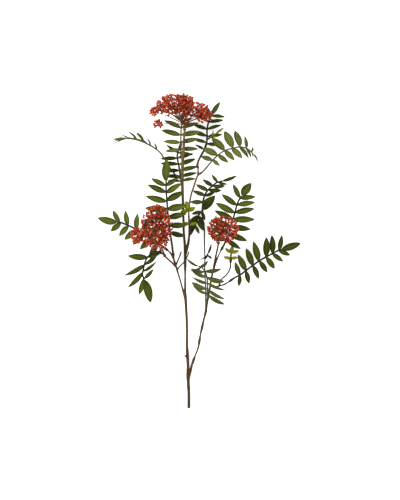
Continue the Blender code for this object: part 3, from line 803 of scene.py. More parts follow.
@dataclass(frozen=True)
class BarkFinish:
    """Young bark: the twig's own colour in drawn-out streaks and flecks, and bare wood at the cut."""

    name: str = "young_bark"
    streaks: Pattern = Pattern(420.0, (0.42, 0.72), detail=4.0, stretch=(1.0, 0.16, 1.0))
    blotches: Pattern = Pattern(150.0, (0.5, 0.66), 0.55, stretch=(1.0, 0.45, 1.0))
    flecks: Pattern = Pattern(650.0, (0.52, 0.66), 0.75, stretch=(1.0, 0.5, 1.0))
    bloom: Pattern = Pattern(60.0, (0.5, 0.75), 0.3)
    pale: Point = (1.45, 1.4, 1.35)
    deep: Point = (0.42, 0.38, 0.36)
    fresh: Point = (72, 68, 44)
    cut_at: float = -23.5
    pith: Point = (0.0, 0.0, 2.4)
    wood: Point = (112, 102, 76)
    wood_dark: float = 0.72
    ring_beat: float = 9000.0
    ring_share: float = 0.25
    rim: Point = (88, 78, 58)
    rim_from: float = 2.3
    rim_to: float = 2.8
    dullness: float = 0.66
    dull_spread: float = 0.2
    streak_height: float = 0.7
    fleck_height: float = 0.4
    depth: float = 0.0006
    gloss: float = 0.12

    def material(self) -> bpy.types.Material:
        """Write the material, which reads the colour that the wood carries.

        Returns:
            The material.
        """
        sheet = ShaderSheet(self.name)
        tint = sheet.add("ShaderNodeAttribute", {}, attribute_name="tint").outputs["Color"]
        streak, fleck = sheet.grain(self.streaks), sheet.grain(self.flecks)
        deep = sheet.stained(tint, self.deep)
        colour = sheet.overlaid(tint, sheet.stained(tint, self.pale), streak, self.streaks)
        colour = sheet.overlaid(colour, deep, sheet.grain(self.blotches), self.blotches)
        colour = sheet.overlaid(colour, deep, fleck, self.flecks)
        colour = sheet.overlaid(colour, linear(self.fresh), sheet.grain(self.bloom), self.bloom)
        where = sheet.add("ShaderNodeTexCoord", {}).outputs["Object"]
        down = sheet.add("ShaderNodeSeparateXYZ", {"Vector": where}).outputs["Y"]
        cut = sheet.maths("LESS_THAN", down, self.cut_at * MM)
        colour = sheet.blend(cut, colour, self.cut_face(sheet, where))
        dull = sheet.plus(self.dullness, sheet.times(streak, self.dull_spread))
        relief = sheet.plus(sheet.times(streak, self.streak_height), sheet.times(fleck, self.fleck_height))
        return sheet.finish(colour, dull, relief, self.depth, self.gloss)

    def cut_face(self, sheet: ShaderSheet, where: bpy.types.NodeSocket) -> bpy.types.NodeSocket:
        """The colour of the bare wood at the cut, in rings round the pith with a darker rim.

        Args:
            sheet: the bark's sheet.
            where: the place on the piece.

        Returns:
            The colour there.
        """
        pith = tuple(part * MM for part in self.pith)
        moved = sheet.add("ShaderNodeVectorMath", {0: where, 1: pith}, operation="SUBTRACT").outputs["Vector"]
        flat = sheet.add("ShaderNodeVectorMath", {0: moved, 1: (1.0, 0.0, 1.0)}, operation="MULTIPLY")
        line = sheet.add("ShaderNodeVectorMath", {0: flat.outputs["Vector"]}, operation="LENGTH")
        out = line.outputs["Value"]
        wave = sheet.maths("SINE", sheet.times(out, self.ring_beat))
        rings = sheet.times(sheet.plus(wave, 1.0), self.ring_share)
        wood = sheet.blend(rings, linear(self.wood), linear([part * self.wood_dark for part in self.wood]))
        return sheet.blend(sheet.ramp(out, self.rim_from * MM, self.rim_to * MM), wood, linear(self.rim))


@dataclass(frozen=True)
class BerryFinish:
    """A ripe berry: orange-red skin that darkens to a maroon tip, with a soft gloss and fine dots."""

    name: str = "berry_skin"
    pale: Point = (196, 70, 16)
    deep: Point = (146, 37, 8)
    tip: Point = (50, 10, 8)
    tip_band: Span = (0.66, 0.9)
    tone_share: float = 0.7
    tone_band: Span = (0.25, 0.95)
    mottle: Pattern = Pattern(240.0, share=0.5)
    dots: Pattern = Pattern(2600.0, (0.62, 0.7), 0.3, 1.0)
    dot: Point = (196, 120, 70)
    dullness: float = 0.42
    skin: Pattern = Pattern(900.0)
    depth: float = 0.0002
    gloss: float = 0.2

    def material(self) -> bpy.types.Material:
        """Write the material, which reads how near the berry's tip it is.

        Returns:
            The material.
        """
        sheet = ShaderSheet(self.name)
        tone = sheet.plus(sheet.times(sheet.value("tone"), self.tone_share),
                          sheet.times(sheet.grain(self.mottle), self.mottle.share))
        skin = sheet.blend(sheet.ramp(tone, *self.tone_band), linear(self.pale), linear(self.deep))
        skin = sheet.overlaid(skin, linear(self.dot), sheet.grain(self.dots), self.dots)
        colour = sheet.blend(sheet.ramp(sheet.value("reach"), *self.tip_band), skin, linear(self.tip))
        return sheet.finish(colour, self.dullness, sheet.grain(self.skin), self.depth, self.gloss)


@dataclass(frozen=True)
class PoreFinish:
    """The pale corky pores of the bark."""

    name: str = "bark_pore"
    cork: Point = (120, 98, 66)
    cork_dark: float = 0.7
    crumb: Pattern = Pattern(1800.0)
    dullness: float = 0.85
    depth: float = 0.0002
    gloss: float = 0.2

    def material(self) -> bpy.types.Material:
        """Write the material.

        Returns:
            The material.
        """
        sheet = ShaderSheet(self.name)
        crumb = sheet.grain(self.crumb)
        colour = sheet.blend(crumb, linear(self.cork), linear([part * self.cork_dark for part in self.cork]))
        return sheet.finish(colour, self.dullness, crumb, self.depth, self.gloss)


@dataclass(frozen=True)
class FloorFinish:
    """Matt white studio paper, faintly lit from behind."""

    name: str = "studio_paper"
    white: float = 0.96
    shade: float = 0.97
    fibres: Pattern = Pattern(300.0, share=0.05)
    glow: float = 0.5
    dullness: float = 0.95
    depth: float = 0.0001
    gloss: float = 0.1

    def material(self) -> bpy.types.Material:
        """Write the material.

        Returns:
            The material.
        """
        sheet = ShaderSheet(self.name)
        fibres = sheet.grain(self.fibres)
        bright, dim = (*[self.white] * 3, 1.0), (*[self.white * self.shade] * 3, 1.0)
        colour = sheet.blend(sheet.times(fibres, self.fibres.share), bright, dim)
        sheet.feed(sheet.surface["Emission Color"], (1.0, 1.0, 1.0, 1.0))
        sheet.feed(sheet.surface["Emission Strength"], self.glow)
        return sheet.finish(colour, self.dullness, fibres, self.depth, self.gloss)


def ring_of(shape: bmesh.types.BMesh, halves: Span, height: float, sides: int) -> list[bmesh.types.BMVert]:
    """Set points round an upright axis.

    Args:
        shape: the form that they belong to.
        halves: the ring's half sizes.
        height: how high it lies.
        sides: how many points it has.

    Returns:
        The points in order.
    """
    turns = [math.tau * i / sides for i in range(sides)]
    return [shape.verts.new((halves[0] * math.cos(turn), halves[1] * math.sin(turn), height))
            for turn in turns]


def shelve(shape: bmesh.types.BMesh, name: str, shelf: bpy.types.Collection) -> bpy.types.Mesh:
    """Make a finished pattern's mesh and keep it in a collection.

    Args:
        shape: the pattern's form, which ends here.
        name: the pattern's name.
        shelf: the collection.

    Returns:
        The mesh.
    """
    for face in shape.faces:
        face.smooth = True
    mesh = bpy.data.meshes.new(name)
    shape.to_mesh(mesh)
    shape.free()
    shelf.objects.link(bpy.data.objects.new(name, mesh))
    return mesh


@dataclass(frozen=True)
class Blade:
    """The pattern of a leaflet, one long and one wide: two thin faces that share a toothed edge."""

    name: str
    teeth: int = 12
    tooth: float = 0.13
    lead: float = 0.4
    teeth_to: float = 0.97
    columns: tuple[float, ...] = (0.09, 0.55)
    fullness: float = 0.86
    roundness: float = 0.72
    thin: float = 0.0045
    keel: float = 0.012
    midrib: float = 0.01
    slimness: float = 0.3
    fold: float = 0.42
    arch: float = 0.1
    ripple: float = 0.024
    curl: float = 0.0
    twist: float = 0.0

    def half_width(self, share: float) -> float:
        """Half the outline's width there, as a share of its greatest half width."""
        return math.sin(math.pi * share**self.fullness) ** self.roundness

    def build(self, shelf: bpy.types.Collection) -> None:
        """Make the leaflet along +Y, face up.

        Args:
            shelf: the collection that it is kept in.
        """
        shape = bmesh.new()
        maps = shape.loops.layers.uv.new("blade")
        rows = 2 * self.teeth
        places: dict[tuple[int, float, int], bmesh.types.BMVert] = {}
        marks: dict[bmesh.types.BMVert, Span] = {}

        def vertex(row: int, column: float, face: int) -> bmesh.types.BMVert:
            """Find or make a vertex. The rim, foot and tip belong to both faces.

            Args:
                row: its row, from the foot.
                column: how far out it is, from -1 to 1.
                face: 1 on the upper face and -1 on the lower one.

            Returns:
                The vertex.
            """
            if row in (0, rows):
                column, face = 0.0, 0
            elif abs(column) == 1.0:
                face = 0
            key = (row, column, face)
            if key not in places:
                places[key] = shape.verts.new(self.place(row / rows, column, face, row % 2))
                marks[places[key]] = (0.5 + column / 2, row / rows)
            return places[key]

        steps = [0.0, *self.columns, 1.0]
        for face, side, row in product((1, -1), (1, -1), range(rows)):
            for near, far in zip(steps, steps[1:]):
                corners = dict.fromkeys((
                    vertex(row, side * near, face), vertex(row, side * far, face),
                    vertex(row + 1, side * far, face), vertex(row + 1, side * near, face)))
                if len(corners) < 3:
                    continue
                quad = shape.faces.new(list(corners)[:: side * face])
                for loop in quad.loops:
                    loop[maps].uv = marks[loop.vert]
        shape.normal_update()
        uppers = [float(quad.normal.z > 0) for quad in shape.faces]
        rim = {spot for spot, (across, along) in marks.items() if across in (0.0, 1.0) or along in (0.0, 1.0)}
        for edge in shape.edges:
            edge.smooth = not rim.issuperset(edge.verts)
        mesh = shelve(shape, self.name, shelf)
        mesh.attributes.new("upper", "FLOAT", "FACE").data.foreach_set("value", uppers)

    def place(self, share: float, column: float, face: int, tooth: int) -> Vector:
        """Where one vertex of the leaflet is.

        Args:
            share: how far along the leaflet its row is.
            column: how far out it is, from -1 to 1.
            face: 1 on the upper face, -1 on the lower one and 0 on the rim.
            tooth: 1 in a row that ends in a tooth and 0 between teeth.

        Returns:
            The place, with a width and a length of one.
        """
        out = abs(column)
        notch = 1.0 - self.tooth * (1 - tooth) * out**3
        forward = tooth * self.lead * out**2 / (2 * self.teeth)
        reach = self.half_width(share) * notch
        x = column * reach / 2
        rise = self.fold * abs(x) * self.slimness - self.arch * share**2
        ripple = self.ripple * (tooth - 0.5) * out * (1 - out)
        wall = face * self.thin * (1 - out)
        keel = -self.keel * (1 - share) * (out < self.midrib) * (face < 0)
        roll = self.twist * share * x * self.slimness
        y = share + forward * (share < self.teeth_to)
        return Vector((x + self.curl * share**2, y, rise + ripple + wall + keel + roll))


@dataclass(frozen=True)
class Berry:
    """The pattern of a berry, one long and one in radius: an egg form with a five-lobed crown at its tip."""

    name: str
    sides: int = 8
    profile: tuple[Span, ...] = (
        (0.2, 0.0), (0.66, 0.1), (0.96, 0.33), (1.0, 0.52), (0.8, 0.76), (0.46, 0.9), (0.34, 0.97))
    hollow: float = 0.9
    lobes: int = 5
    lobe_width: float = 0.16
    lobe_root: Span = (0.3, 0.93)
    lobe_tip: Span = (0.55, 1.02)
    lobe_under: Span = (0.36, 0.88)

    def build(self, shelf: bpy.types.Collection) -> None:
        """Make the berry along +Z.

        Args:
            shelf: the collection that it is kept in.
        """
        shape = bmesh.new()
        rings = [ring_of(shape, (radius, radius), height, self.sides) for radius, height in self.profile]
        for low, high in zip(rings, rings[1:]):
            for i in range(self.sides):
                j = (i + 1) % self.sides
                shape.faces.new((low[i], low[j], high[j], high[i]))
        shape.faces.new(rings[0][::-1])
        middle = shape.verts.new((0, 0, self.hollow))
        for i in range(self.sides):
            shape.faces.new((rings[-1][i], rings[-1][(i + 1) % self.sides], middle))
        self.crown(shape)
        bmesh.ops.recalc_face_normals(shape, faces=shape.faces)
        mesh = shelve(shape, self.name, shelf)
        reach = [max(0.0, min(1.0, vertex.co.z)) for vertex in mesh.vertices]
        mesh.attributes.new("reach", "FLOAT", "POINT").data.foreach_set("value", reach)

    def crown(self, shape: bmesh.types.BMesh) -> None:
        """Stand the small lobes round the berry's tip, each a closed wedge.

        Args:
            shape: the berry's form.
        """
        for index in range(self.lobes):
            turn = math.tau * index / self.lobes
            ray = Vector((math.cos(turn), math.sin(turn), 0))
            side = Vector((-ray.y, ray.x, 0)) * self.lobe_width
            root, tip, under = (ray * out + Vector((0, 0, height))
                                for out, height in (self.lobe_root, self.lobe_tip, self.lobe_under))
            a, b, c, d = (shape.verts.new(spot) for spot in (root + side, root - side, tip, under))
            for corners in ((a, b, c), (b, a, d), (a, c, d), (c, b, d)):
                shape.faces.new(corners)


@dataclass(frozen=True)
class Pore:
    """A small corky pore of the bark, long one way, as a low closed lens. Its sizes are in millimetres."""

    name: str = "pore"
    halves: Span = (1.15, 0.5)
    dome: float = 0.22
    sunk: float = 0.05
    sides: int = 8

    def build(self, shelf: bpy.types.Collection) -> None:
        """Make the pore with its dome along +Z.

        Args:
            shelf: the collection that it is kept in.
        """
        shape = bmesh.new()
        ring = ring_of(shape, (self.halves[0] * MM, self.halves[1] * MM), -self.sunk * MM, self.sides)
        for height, way in ((self.dome, 1), (-self.dome, -1)):
            peak = shape.verts.new((0, 0, height * MM))
            for i in range(self.sides):
                shape.faces.new((ring[i], ring[(i + 1) % self.sides], peak)[::way])
        shelve(shape, self.name, shelf)


PATTERNS: dict[Shelf, tuple[Blade | Berry | Pore, ...]] = {
    Shelf.TOOTHED: (Blade("blade_a"), Blade("blade_b", curl=0.035, twist=0.5),
                    Blade("blade_c", curl=-0.03, twist=-0.5, teeth=11)),
    Shelf.PLAIN: (Blade("young_a", teeth=4, tooth=0.03), Blade("young_b", teeth=4, tooth=0.03, curl=0.05)),
    Shelf.BERRIES: (Berry("berry_a"), Berry("berry_b", profile=(
        (0.2, 0.0), (0.6, 0.12), (0.9, 0.36), (0.95, 0.56), (0.78, 0.78), (0.5, 0.9), (0.38, 0.97)))),
    Shelf.PORES: (Pore(),),
}

# Each blade goes from dark to light with its mottle, its tone and painted shade at its edges and foot
BLADES: dict[LeafTint, BladeFinish] = {
    LeafTint.DARK: BladeFinish("blade_dark", dark=(23, 32, 4), light=(67, 78, 12), rib=(88, 98, 26),
                               under=(60, 68, 24), blush=(68, 62, 10)),
    LeafTint.OLIVE: BladeFinish("blade_olive", dark=(50, 56, 18), light=(84, 90, 36), rib=(104, 108, 52),
                                under=(76, 80, 36), blush=(80, 72, 24)),
    LeafTint.YOUNG: BladeFinish("blade_young", dark=(80, 84, 8), light=(126, 128, 16), rib=(140, 140, 40),
                                under=(110, 110, 30), blush=(104, 84, 10)),
}

STALKS: dict[LeafTint, StalkFinish] = {
    LeafTint.DARK: StalkFinish("stalk_dark", foot=(60, 42, 28), tip=(28, 34, 18), foot_share=0.3),
    LeafTint.OLIVE: StalkFinish("stalk_olive", foot=(62, 48, 28), tip=(64, 60, 28), foot_share=0.2),
    LeafTint.YOUNG: StalkFinish("stalk_young", foot=(48, 36, 22), tip=(92, 88, 20), foot_share=0.8),
}

BERRY_STALK = StalkFinish("berry_stalk", foot=(78, 52, 30), tip=(112, 44, 26), foot_share=0.6)


@dataclass
class Workshop:
    """The patterns, trees and finishes that every piece of the branch is made with."""

    growth: TreeSheet = field(default_factory=growth_tree)
    scatter: TreeSheet = field(default_factory=scatter_tree)
    shelves: dict[Shelf, bpy.types.Collection] = field(default_factory=dict)
    blades: dict[LeafTint, bpy.types.Material] = field(default_factory=dict)
    stalks: dict[LeafTint, bpy.types.Material] = field(default_factory=dict)

    def __post_init__(self) -> None:
        """Make the patterns and the finishes."""
        for shelf, patterns in PATTERNS.items():
            self.shelves[shelf] = bpy.data.collections.new(shelf.value)
            for pattern in patterns:
                pattern.build(self.shelves[shelf])
        self.blades = {tint: finish.material() for tint, finish in BLADES.items()}
        self.stalks = {tint: finish.material() for tint, finish in STALKS.items()}

    def clear(self) -> None:
        """Put the patterns away once all pieces have grown."""
        for shelf in self.shelves.values():
            for pattern in list(shelf.objects):
                bpy.data.objects.remove(pattern)
            bpy.data.collections.remove(shelf)


def settle(piece: bpy.types.Object, node: str) -> None:
    """Let a finished piece ride and stand for its solid.

    Args:
        piece: the finished piece.
        node: the solid that it stands for.
    """
    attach(piece, BODY)
    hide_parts(node)
    LOG.info("%s: %d triangles", piece.name, triangles(piece))


def hump(distance: float, reach: float) -> float:
    """A round swelling: 1 where the distance is nothing, and almost gone at twice the reach."""
    return math.exp(-((distance / reach) ** 2))


@dataclass(frozen=True)
class CompoundLeaf:
    """One compound leaf: its stalk's route, what stands along it, and how its leaflets face and lean.

    The pairs stand from the share first to the share last of the stalk. Of what is given twice, the first is
    for the lowest pair and the second for the highest: the way the leaf faces, how many degrees the leaflets
    sweep forward and lean to one side, and their length as a share of the longest. The end is the last
    leaflet's length and width. The leaflets rise from the stalk by vee degrees, and those on the right are
    longer by the share bias. The light is how light the leaf is painted, partly its own tone and partly
    painted shade; the shade is painted light that makes the right leaflets lighter and the left ones darker.
    A leaf that lies is bent down to the floor.
    """

    node: str
    route: tuple[Point, ...]
    pairs: int
    first: float
    face: tuple[Point, Point]
    sweep: Span
    vee: float
    length: float
    end: Span
    last: float = 0.95
    lean: Span = (0.0, 0.0)
    bias: float = 0.0
    lengths: Span = (0.8, 0.78)
    slimness: float = 0.3
    tint: LeafTint = LeafTint.DARK
    stalk: float = 1.0
    lies: bool = False
    # Painted light: how light the leaf is painted, partly its own tone and partly painted shade; the shade
    # paints the right leaflets lighter than the left
    light: float = 0.5
    shade: float = 0.0
    first_seed: int = 100
    toothed_from: float = 25.0
    least_width: float = 3.2
    stagger: float = 0.012
    sway: float = 5.0
    length_spread: Span = (0.94, 1.05)
    end_sink: float = 1.2
    tone_wave: float = 0.2
    tone_turn: float = 2.4
    stalk_sides: int = 8
    stalk_straight: float = 1.0
    stalk_step: float = 2.4
    stalk_short: float = 1.5
    stalk_tip_radius: float = 2.0
    foot_swell: float = 0.4
    foot_reach: float = 5.0
    pair_swell: float = 0.2
    pair_reach: float = 1.6
    bend_from: float = 0.1
    bend_to: float = 1.3

    def build(self, number: int, shop: Workshop) -> None:
        """Grow the leaf.

        Args:
            number: the leaf's place in the list, which seeds its chance.
            shop: the patterns, trees and finishes.
        """
        draw = random.Random(self.first_seed + number)
        guide = Guide()
        path = Route(self.route)
        self.lay_stalk(guide, path)
        for pair in range(self.pairs):
            self.lay_pair(guide, path, pair, number, draw)
        _, along, up = self.axes(path, path.length, 1.0)
        root = path.at(path.length) - along * self.end_sink
        # The end leaflet takes the leaf's painted lightness, which is partly painted shade
        self.lay_blade(guide, root, along, up, self.end, 0, self.light)
        piece = guide.piece(f"{self.node}_foliage")
        shop.growth.grow(piece, Shapes=shop.shelves[self.shelf()], Stalk_sides=self.stalk_sides,
                         Stalk_finish=shop.stalks[self.tint], Shape_finish=shop.blades[self.tint])
        if self.lies:
            self.lay_down(piece.data, path)
        settle(piece, self.node)

    def shelf(self) -> Shelf:
        """Where its leaflets come from: small ones have no teeth."""
        return Shelf.TOOTHED if self.length > self.toothed_from else Shelf.PLAIN

    def pair_share(self, pair: int) -> float:
        """The share of the stalk where that pair of leaflets stands."""
        return self.first + (self.last - self.first) * pair / max(1, self.pairs - 1)

    def axes(self, path: Route, distance: float, share: float) -> tuple[Vector, Vector, Vector]:
        """The leaf's own axes at a distance along its stalk.

        Args:
            path: the stalk's curve.
            distance: how far along it.
            share: how far from the lowest pair to the highest, which settles the way the leaf faces.

        Returns:
            The directions to its right, along it and out of its face.
        """
        low, high = (Vector(face).normalized() for face in self.face)
        face = low.lerp(high, share)
        along = path.along(distance)
        up = (face - along * face.dot(along)).normalized()
        return along.cross(up), along, up

    def lay_stalk(self, guide: Guide, path: Route) -> None:
        """Lay the stalk from its spur to the last leaflet, swollen at its foot and at each pair.

        Args:
            guide: the leaf's guide.
            path: the stalk's curve.
        """
        seat, _, way = path.spur()
        foot, tip = STALK_FOOT_RADIUS * self.stalk, self.stalk_tip_radius * self.stalk
        pairs = [path.length * self.pair_share(pair) for pair in range(self.pairs)]
        marks = [SPUR_REACH - STALK_SINK, SPUR_REACH + self.stalk_straight]
        while marks[-1] < path.length - self.stalk_short:
            marks.append(marks[-1] + self.stalk_step)
        points = [seat + way * marks[0], seat + way * marks[1]] + [path.at(mark) for mark in marks[2:]]
        radii = []
        for mark in marks:
            share = min(1.0, mark / path.length)
            swell = self.foot_swell * hump(mark - SPUR_REACH, self.foot_reach)
            swell += sum(self.pair_swell * hump(mark - pair, self.pair_reach) for pair in pairs)
            radii.append((foot + (tip - foot) * share) * (1 + swell))
        guide.stalk(points, radii)

    def lay_pair(self, guide: Guide, path: Route, pair: int, number: int, draw: random.Random) -> None:
        """Stand one pair of leaflets.

        Args:
            guide: the leaf's guide.
            path: the stalk's curve.
            pair: which pair it is, from the foot.
            number: the leaf's place in the list.
            draw: the leaf's chance.
        """
        share = pair / max(1, self.pairs - 1)
        middle = 4 * share * (1 - share)
        ends = self.lengths[0] * (1 - share) + self.lengths[1] * share
        size = self.length * (middle + (1 - middle) * ends)
        sweep = self.sweep[0] + (self.sweep[1] - self.sweep[0]) * share
        lean = self.lean[0] + (self.lean[1] - self.lean[0]) * share
        for side in (1, -1):
            stagger = draw.uniform(-self.stagger, self.stagger)
            turn = math.radians(sweep + side * lean + draw.uniform(-self.sway, self.sway))
            lift = math.radians(self.vee + draw.uniform(-self.sway, self.sway))
            length = size * (1 + side * self.bias) * draw.uniform(*self.length_spread)
            distance = path.length * (self.pair_share(pair) + stagger)
            right, along, up = self.axes(path, distance, share)
            way = math.cos(turn) * side * right + math.sin(turn) * along
            way = math.cos(lift) * way + math.sin(lift) * up
            width = max(length * self.slimness, self.least_width)
            # Painted light: the leaflet's tone is the leaf's painted lightness, the right ones painted
            # lighter by the shade
            self.lay_blade(guide, path.at(distance), way, up, (length, width), 2 * pair + (side > 0) + number,
                           self.light + side * self.shade)

    def lay_blade(self, guide: Guide, root: Vector, way: Vector, up: Vector, size: Span, pick: int,
                  tone: float) -> None:
        """Stand one leaflet.

        Args:
            guide: the leaf's guide.
            root: where it meets the stalk.
            way: the way that it points.
            up: about the way that it faces.
            size: its length and its width.
            pick: which of the patterns it is, counted round.
            tone: how light it is painted, from 0 to 1, partly its own tone and partly painted shade.
        """
        up = (up - way * up.dot(way)).normalized()
        turn = Matrix((way.cross(up), way, up)).transposed().to_quaternion()
        length, width = size
        tone += self.tone_wave * math.sin(pick * self.tone_turn + root.x)
        guide.shape(root, turn, Vector((width, length, length)), pick % len(PATTERNS[self.shelf()]), tone)

    def lay_down(self, mesh: bpy.types.Mesh, path: Route) -> None:
        """Bend the leaf from its foot, more towards its tip, until its lowest point just touches the floor.

        Args:
            mesh: the leaf's mesh.
            path: its stalk's curve.
        """
        foot = path.at(0.0)
        reach = (path.at(path.length) - foot).length
        spots = [vertex.co for vertex in mesh.vertices]
        shares = [min(self.bend_to, ((spot / MM) - foot).length / reach) ** 2 for spot in spots]
        lift = max(-spot.z / share for spot, share in zip(spots, shares) if share > self.bend_from)
        for vertex, share in zip(mesh.vertices, shares):
            vertex.co.z += lift * share


@dataclass(frozen=True)
class BerryHead:
    """One head of berries: a stalk, arms that fork twice, and a stalked berry on every end.

    The spur is how thick the wood's spur is, where that of a usual leaf is 1. Berries are pushed apart where
    their middles are nearer than the length apart. Inner and outer are how far out from a clump's middle they
    lie, as shares of its half sizes, and one in inner_every is an inner one.
    """

    node: str
    route: tuple[Point, ...]
    clumps: tuple[Clump, ...]
    seed: int
    spur: float = 1.25
    stalk_radius: float = 1.5
    stalk_foot: float = 1.25
    stalk_taper: float = 0.35
    berry_radius: float = 2.6
    berry_length: float = 7.0
    apart: float = 4.3
    scatter: float = 1.6
    fork_share: float = 0.62
    lone_fork_share: float = 0.86
    spray: int = 4
    stalk_sides: int = 6
    stalk_steps: int = 8
    arm_radii: tuple[float, ...] = tuple(1.15 - 0.05 * i for i in range(7))
    arm_sink: float = 1.5
    spray_radii: tuple[float, ...] = (0.85, 0.8, 0.72, 0.75)
    thread_radii: tuple[float, ...] = (0.6, 0.45, 0.6)
    thread_bend: float = 0.55
    thread_sink: float = 0.4
    bow: float = 0.09
    inner_every: int = 4
    inner: Span = (0.35, 0.84)
    outer: Span = (0.84, 1.04)
    pushes: int = 14
    no_gap: float = 0.01
    size_spread: Span = (0.92, 1.06)

    def spread(self, count: int, lowest: float) -> list[Vector]:
        """Even directions over a part of a ball.

        Args:
            count: how many.
            lowest: the part lies above this cosine along +Y.

        Returns:
            The directions.
        """
        golden = math.pi * (3 - math.sqrt(5))
        ways = []
        for index in range(count):
            height = 1 - (index + 0.5) / count * (1 - lowest)
            ring = math.sqrt(max(0.0, 1 - height**2))
            ways.append(Vector((ring * math.cos(golden * index), height, ring * math.sin(golden * index))))
        return ways

    def stretch(self, way: Vector, halves: Point) -> Vector:
        """A direction scaled by half sizes."""
        return Vector(part * half for part, half in zip(way, halves))

    def jitter(self, draw: random.Random) -> Vector:
        """A small shift of a berry from its even place."""
        return Vector(draw.uniform(-self.scatter, self.scatter) for _ in range(3))

    def berries_of(self, clump: Clump, draw: random.Random) -> list[Vector]:
        """Where the berries of a clump are.

        Args:
            clump: the round form that they cover.
            draw: the head's chance.

        Returns:
            Their middles, kept a berry's width apart and inside the form.
        """
        centre = Vector(clump.middle)
        berries = []
        for index, way in enumerate(self.spread(clump.berries, clump.lowest)):
            inside = index % self.inner_every == self.inner_every - 1
            depth = draw.uniform(*(self.inner if inside else self.outer))
            berries.append(centre + depth * self.stretch(way, clump.halves) + self.jitter(draw))
        for _ in range(self.pushes):
            self.push_apart(berries)
            for berry in berries:
                away = Vector((p - c) / h for p, c, h in zip(berry, centre, clump.halves))
                if away.length > self.outer[1]:
                    berry[:] = centre + self.stretch(away * (self.outer[1] / away.length), clump.halves)
        return berries

    def push_apart(self, berries: list[Vector]) -> None:
        """Push each two berries that are too near half of the missing way apart.

        Args:
            berries: their middles, which are moved.
        """
        for i, one in enumerate(berries):
            for other in berries[:i]:
                gap = one - other
                if self.no_gap < gap.length < self.apart:
                    push = gap.normalized() * (self.apart - gap.length) / 2
                    one += push
                    other -= push

    def sprays_of(self, berries: list[Vector]) -> list[list[Vector]]:
        """Part the berries of one arm into small sprays of near neighbours.

        Args:
            berries: the arm's berries.

        Returns:
            The berries of each spray.
        """
        count = max(1, round(len(berries) / self.spray))
        seeds = [berries[0]]
        while len(seeds) < count:
            seeds.append(max(berries, key=lambda b: min((b - s).length for s in seeds)))
        return self.gathered(berries, seeds)

    def gathered(self, berries: list[Vector], middles: list[Vector]) -> list[list[Vector]]:
        """Give each berry to the nearest of some middles.

        Args:
            berries: the berries.
            middles: what they gather round.

        Returns:
            The berries of each middle that has any.
        """
        groups: list[list[Vector]] = [[] for _ in middles]
        for berry in berries:
            nearest = min(range(len(middles)), key=lambda i: (middles[i] - berry).length)
            groups[nearest].append(berry)
        return [group for group in groups if group]

    def lay_bow(self, guide: Guide, start: Vector, end: Vector, axis: Vector,
                radii: tuple[float, ...]) -> None:
        """Lay a slightly bowed stalk.

        Args:
            guide: the head's guide.
            start: its foot.
            end: its tip.
            axis: the way that it bows.
            radii: its radius at even steps.
        """
        middle = start.lerp(end, 0.5) + axis * self.bow * (end - start).length
        shares = [i / (len(radii) - 1) for i in range(len(radii))]
        guide.stalk([start.lerp(middle, t).lerp(middle.lerp(end, t), t) for t in shares], radii)

    def build(self, shop: Workshop, skin: bpy.types.Material, stalk: bpy.types.Material) -> None:
        """Grow the head.

        Args:
            shop: the patterns and trees.
            skin: the berries' finish.
            stalk: the stalks' finish.
        """
        draw = random.Random(self.seed)
        guide = Guide()
        path = Route(self.route)
        self.lay_stalk(guide, path)
        hub = path.at(path.length)
        axis = path.along(path.length)
        for clump in self.clumps:
            heads = [Vector(clump.middle) + self.stretch(ray, clump.halves)
                     for ray in self.spread(clump.arms, clump.lowest)]
            for arm in self.gathered(self.berries_of(clump, draw), heads):
                mean = sum(arm, Vector()) / len(arm)
                fork = hub.lerp(mean, self.fork_share if clump.arms > 1 else self.lone_fork_share)
                self.lay_bow(guide, hub - axis * self.arm_sink, fork, axis, self.arm_radii)
                self.lay_sprays(guide, arm, fork, axis, draw)
        piece = guide.piece(f"{self.node}_cluster")
        shop.growth.grow(piece, Shapes=shop.shelves[Shelf.BERRIES], Stalk_sides=self.stalk_sides,
                         Stalk_finish=stalk, Shape_finish=skin)
        settle(piece, self.node)

    def lay_stalk(self, guide: Guide, path: Route) -> None:
        """Lay the head's own stalk, from its spur to where the arms part.

        Args:
            guide: the head's guide.
            path: the stalk's curve.
        """
        seat, _, way = path.spur()
        shares = [i / self.stalk_steps for i in range(self.stalk_steps + 1)]
        first = SPUR_REACH - STALK_SINK
        marks = [first + share * (path.length - SPUR_REACH + STALK_SINK) for share in shares]
        guide.stalk([seat + way * marks[0]] + [path.at(mark) for mark in marks[1:]],
                    [self.stalk_radius * (self.stalk_foot - self.stalk_taper * share) for share in shares])

    def lay_sprays(self, guide: Guide, arm: list[Vector], fork: Vector, axis: Vector,
                   draw: random.Random) -> None:
        """Fork an arm into sprays and put a stalked berry on each end.

        Args:
            guide: the head's guide.
            arm: the arm's berries.
            fork: where the arm forks.
            axis: the way that the head points.
            draw: the head's chance.
        """
        for spray in self.sprays_of(arm):
            mean = sum(spray, Vector()) / len(spray)
            knee = fork.lerp(mean, 0.5)
            self.lay_bow(guide, fork, knee, axis, self.spray_radii)
            for berry in spray:
                way = (berry - knee).normalized()
                size = draw.uniform(*self.size_spread)
                foot = berry - way * self.berry_length * size / 2
                guide.stalk((knee, knee.lerp(foot, self.thread_bend), foot + way * self.thread_sink),
                            self.thread_radii)
                turn = way.to_track_quat("Z", "Y") @ Quaternion((0, 0, 1), draw.uniform(0, math.tau))
                radius = self.berry_radius * size
                guide.shape(foot, turn, Vector((radius, radius, self.berry_length * size)),
                            draw.randrange(len(PATTERNS[Shelf.BERRIES])), draw.random())


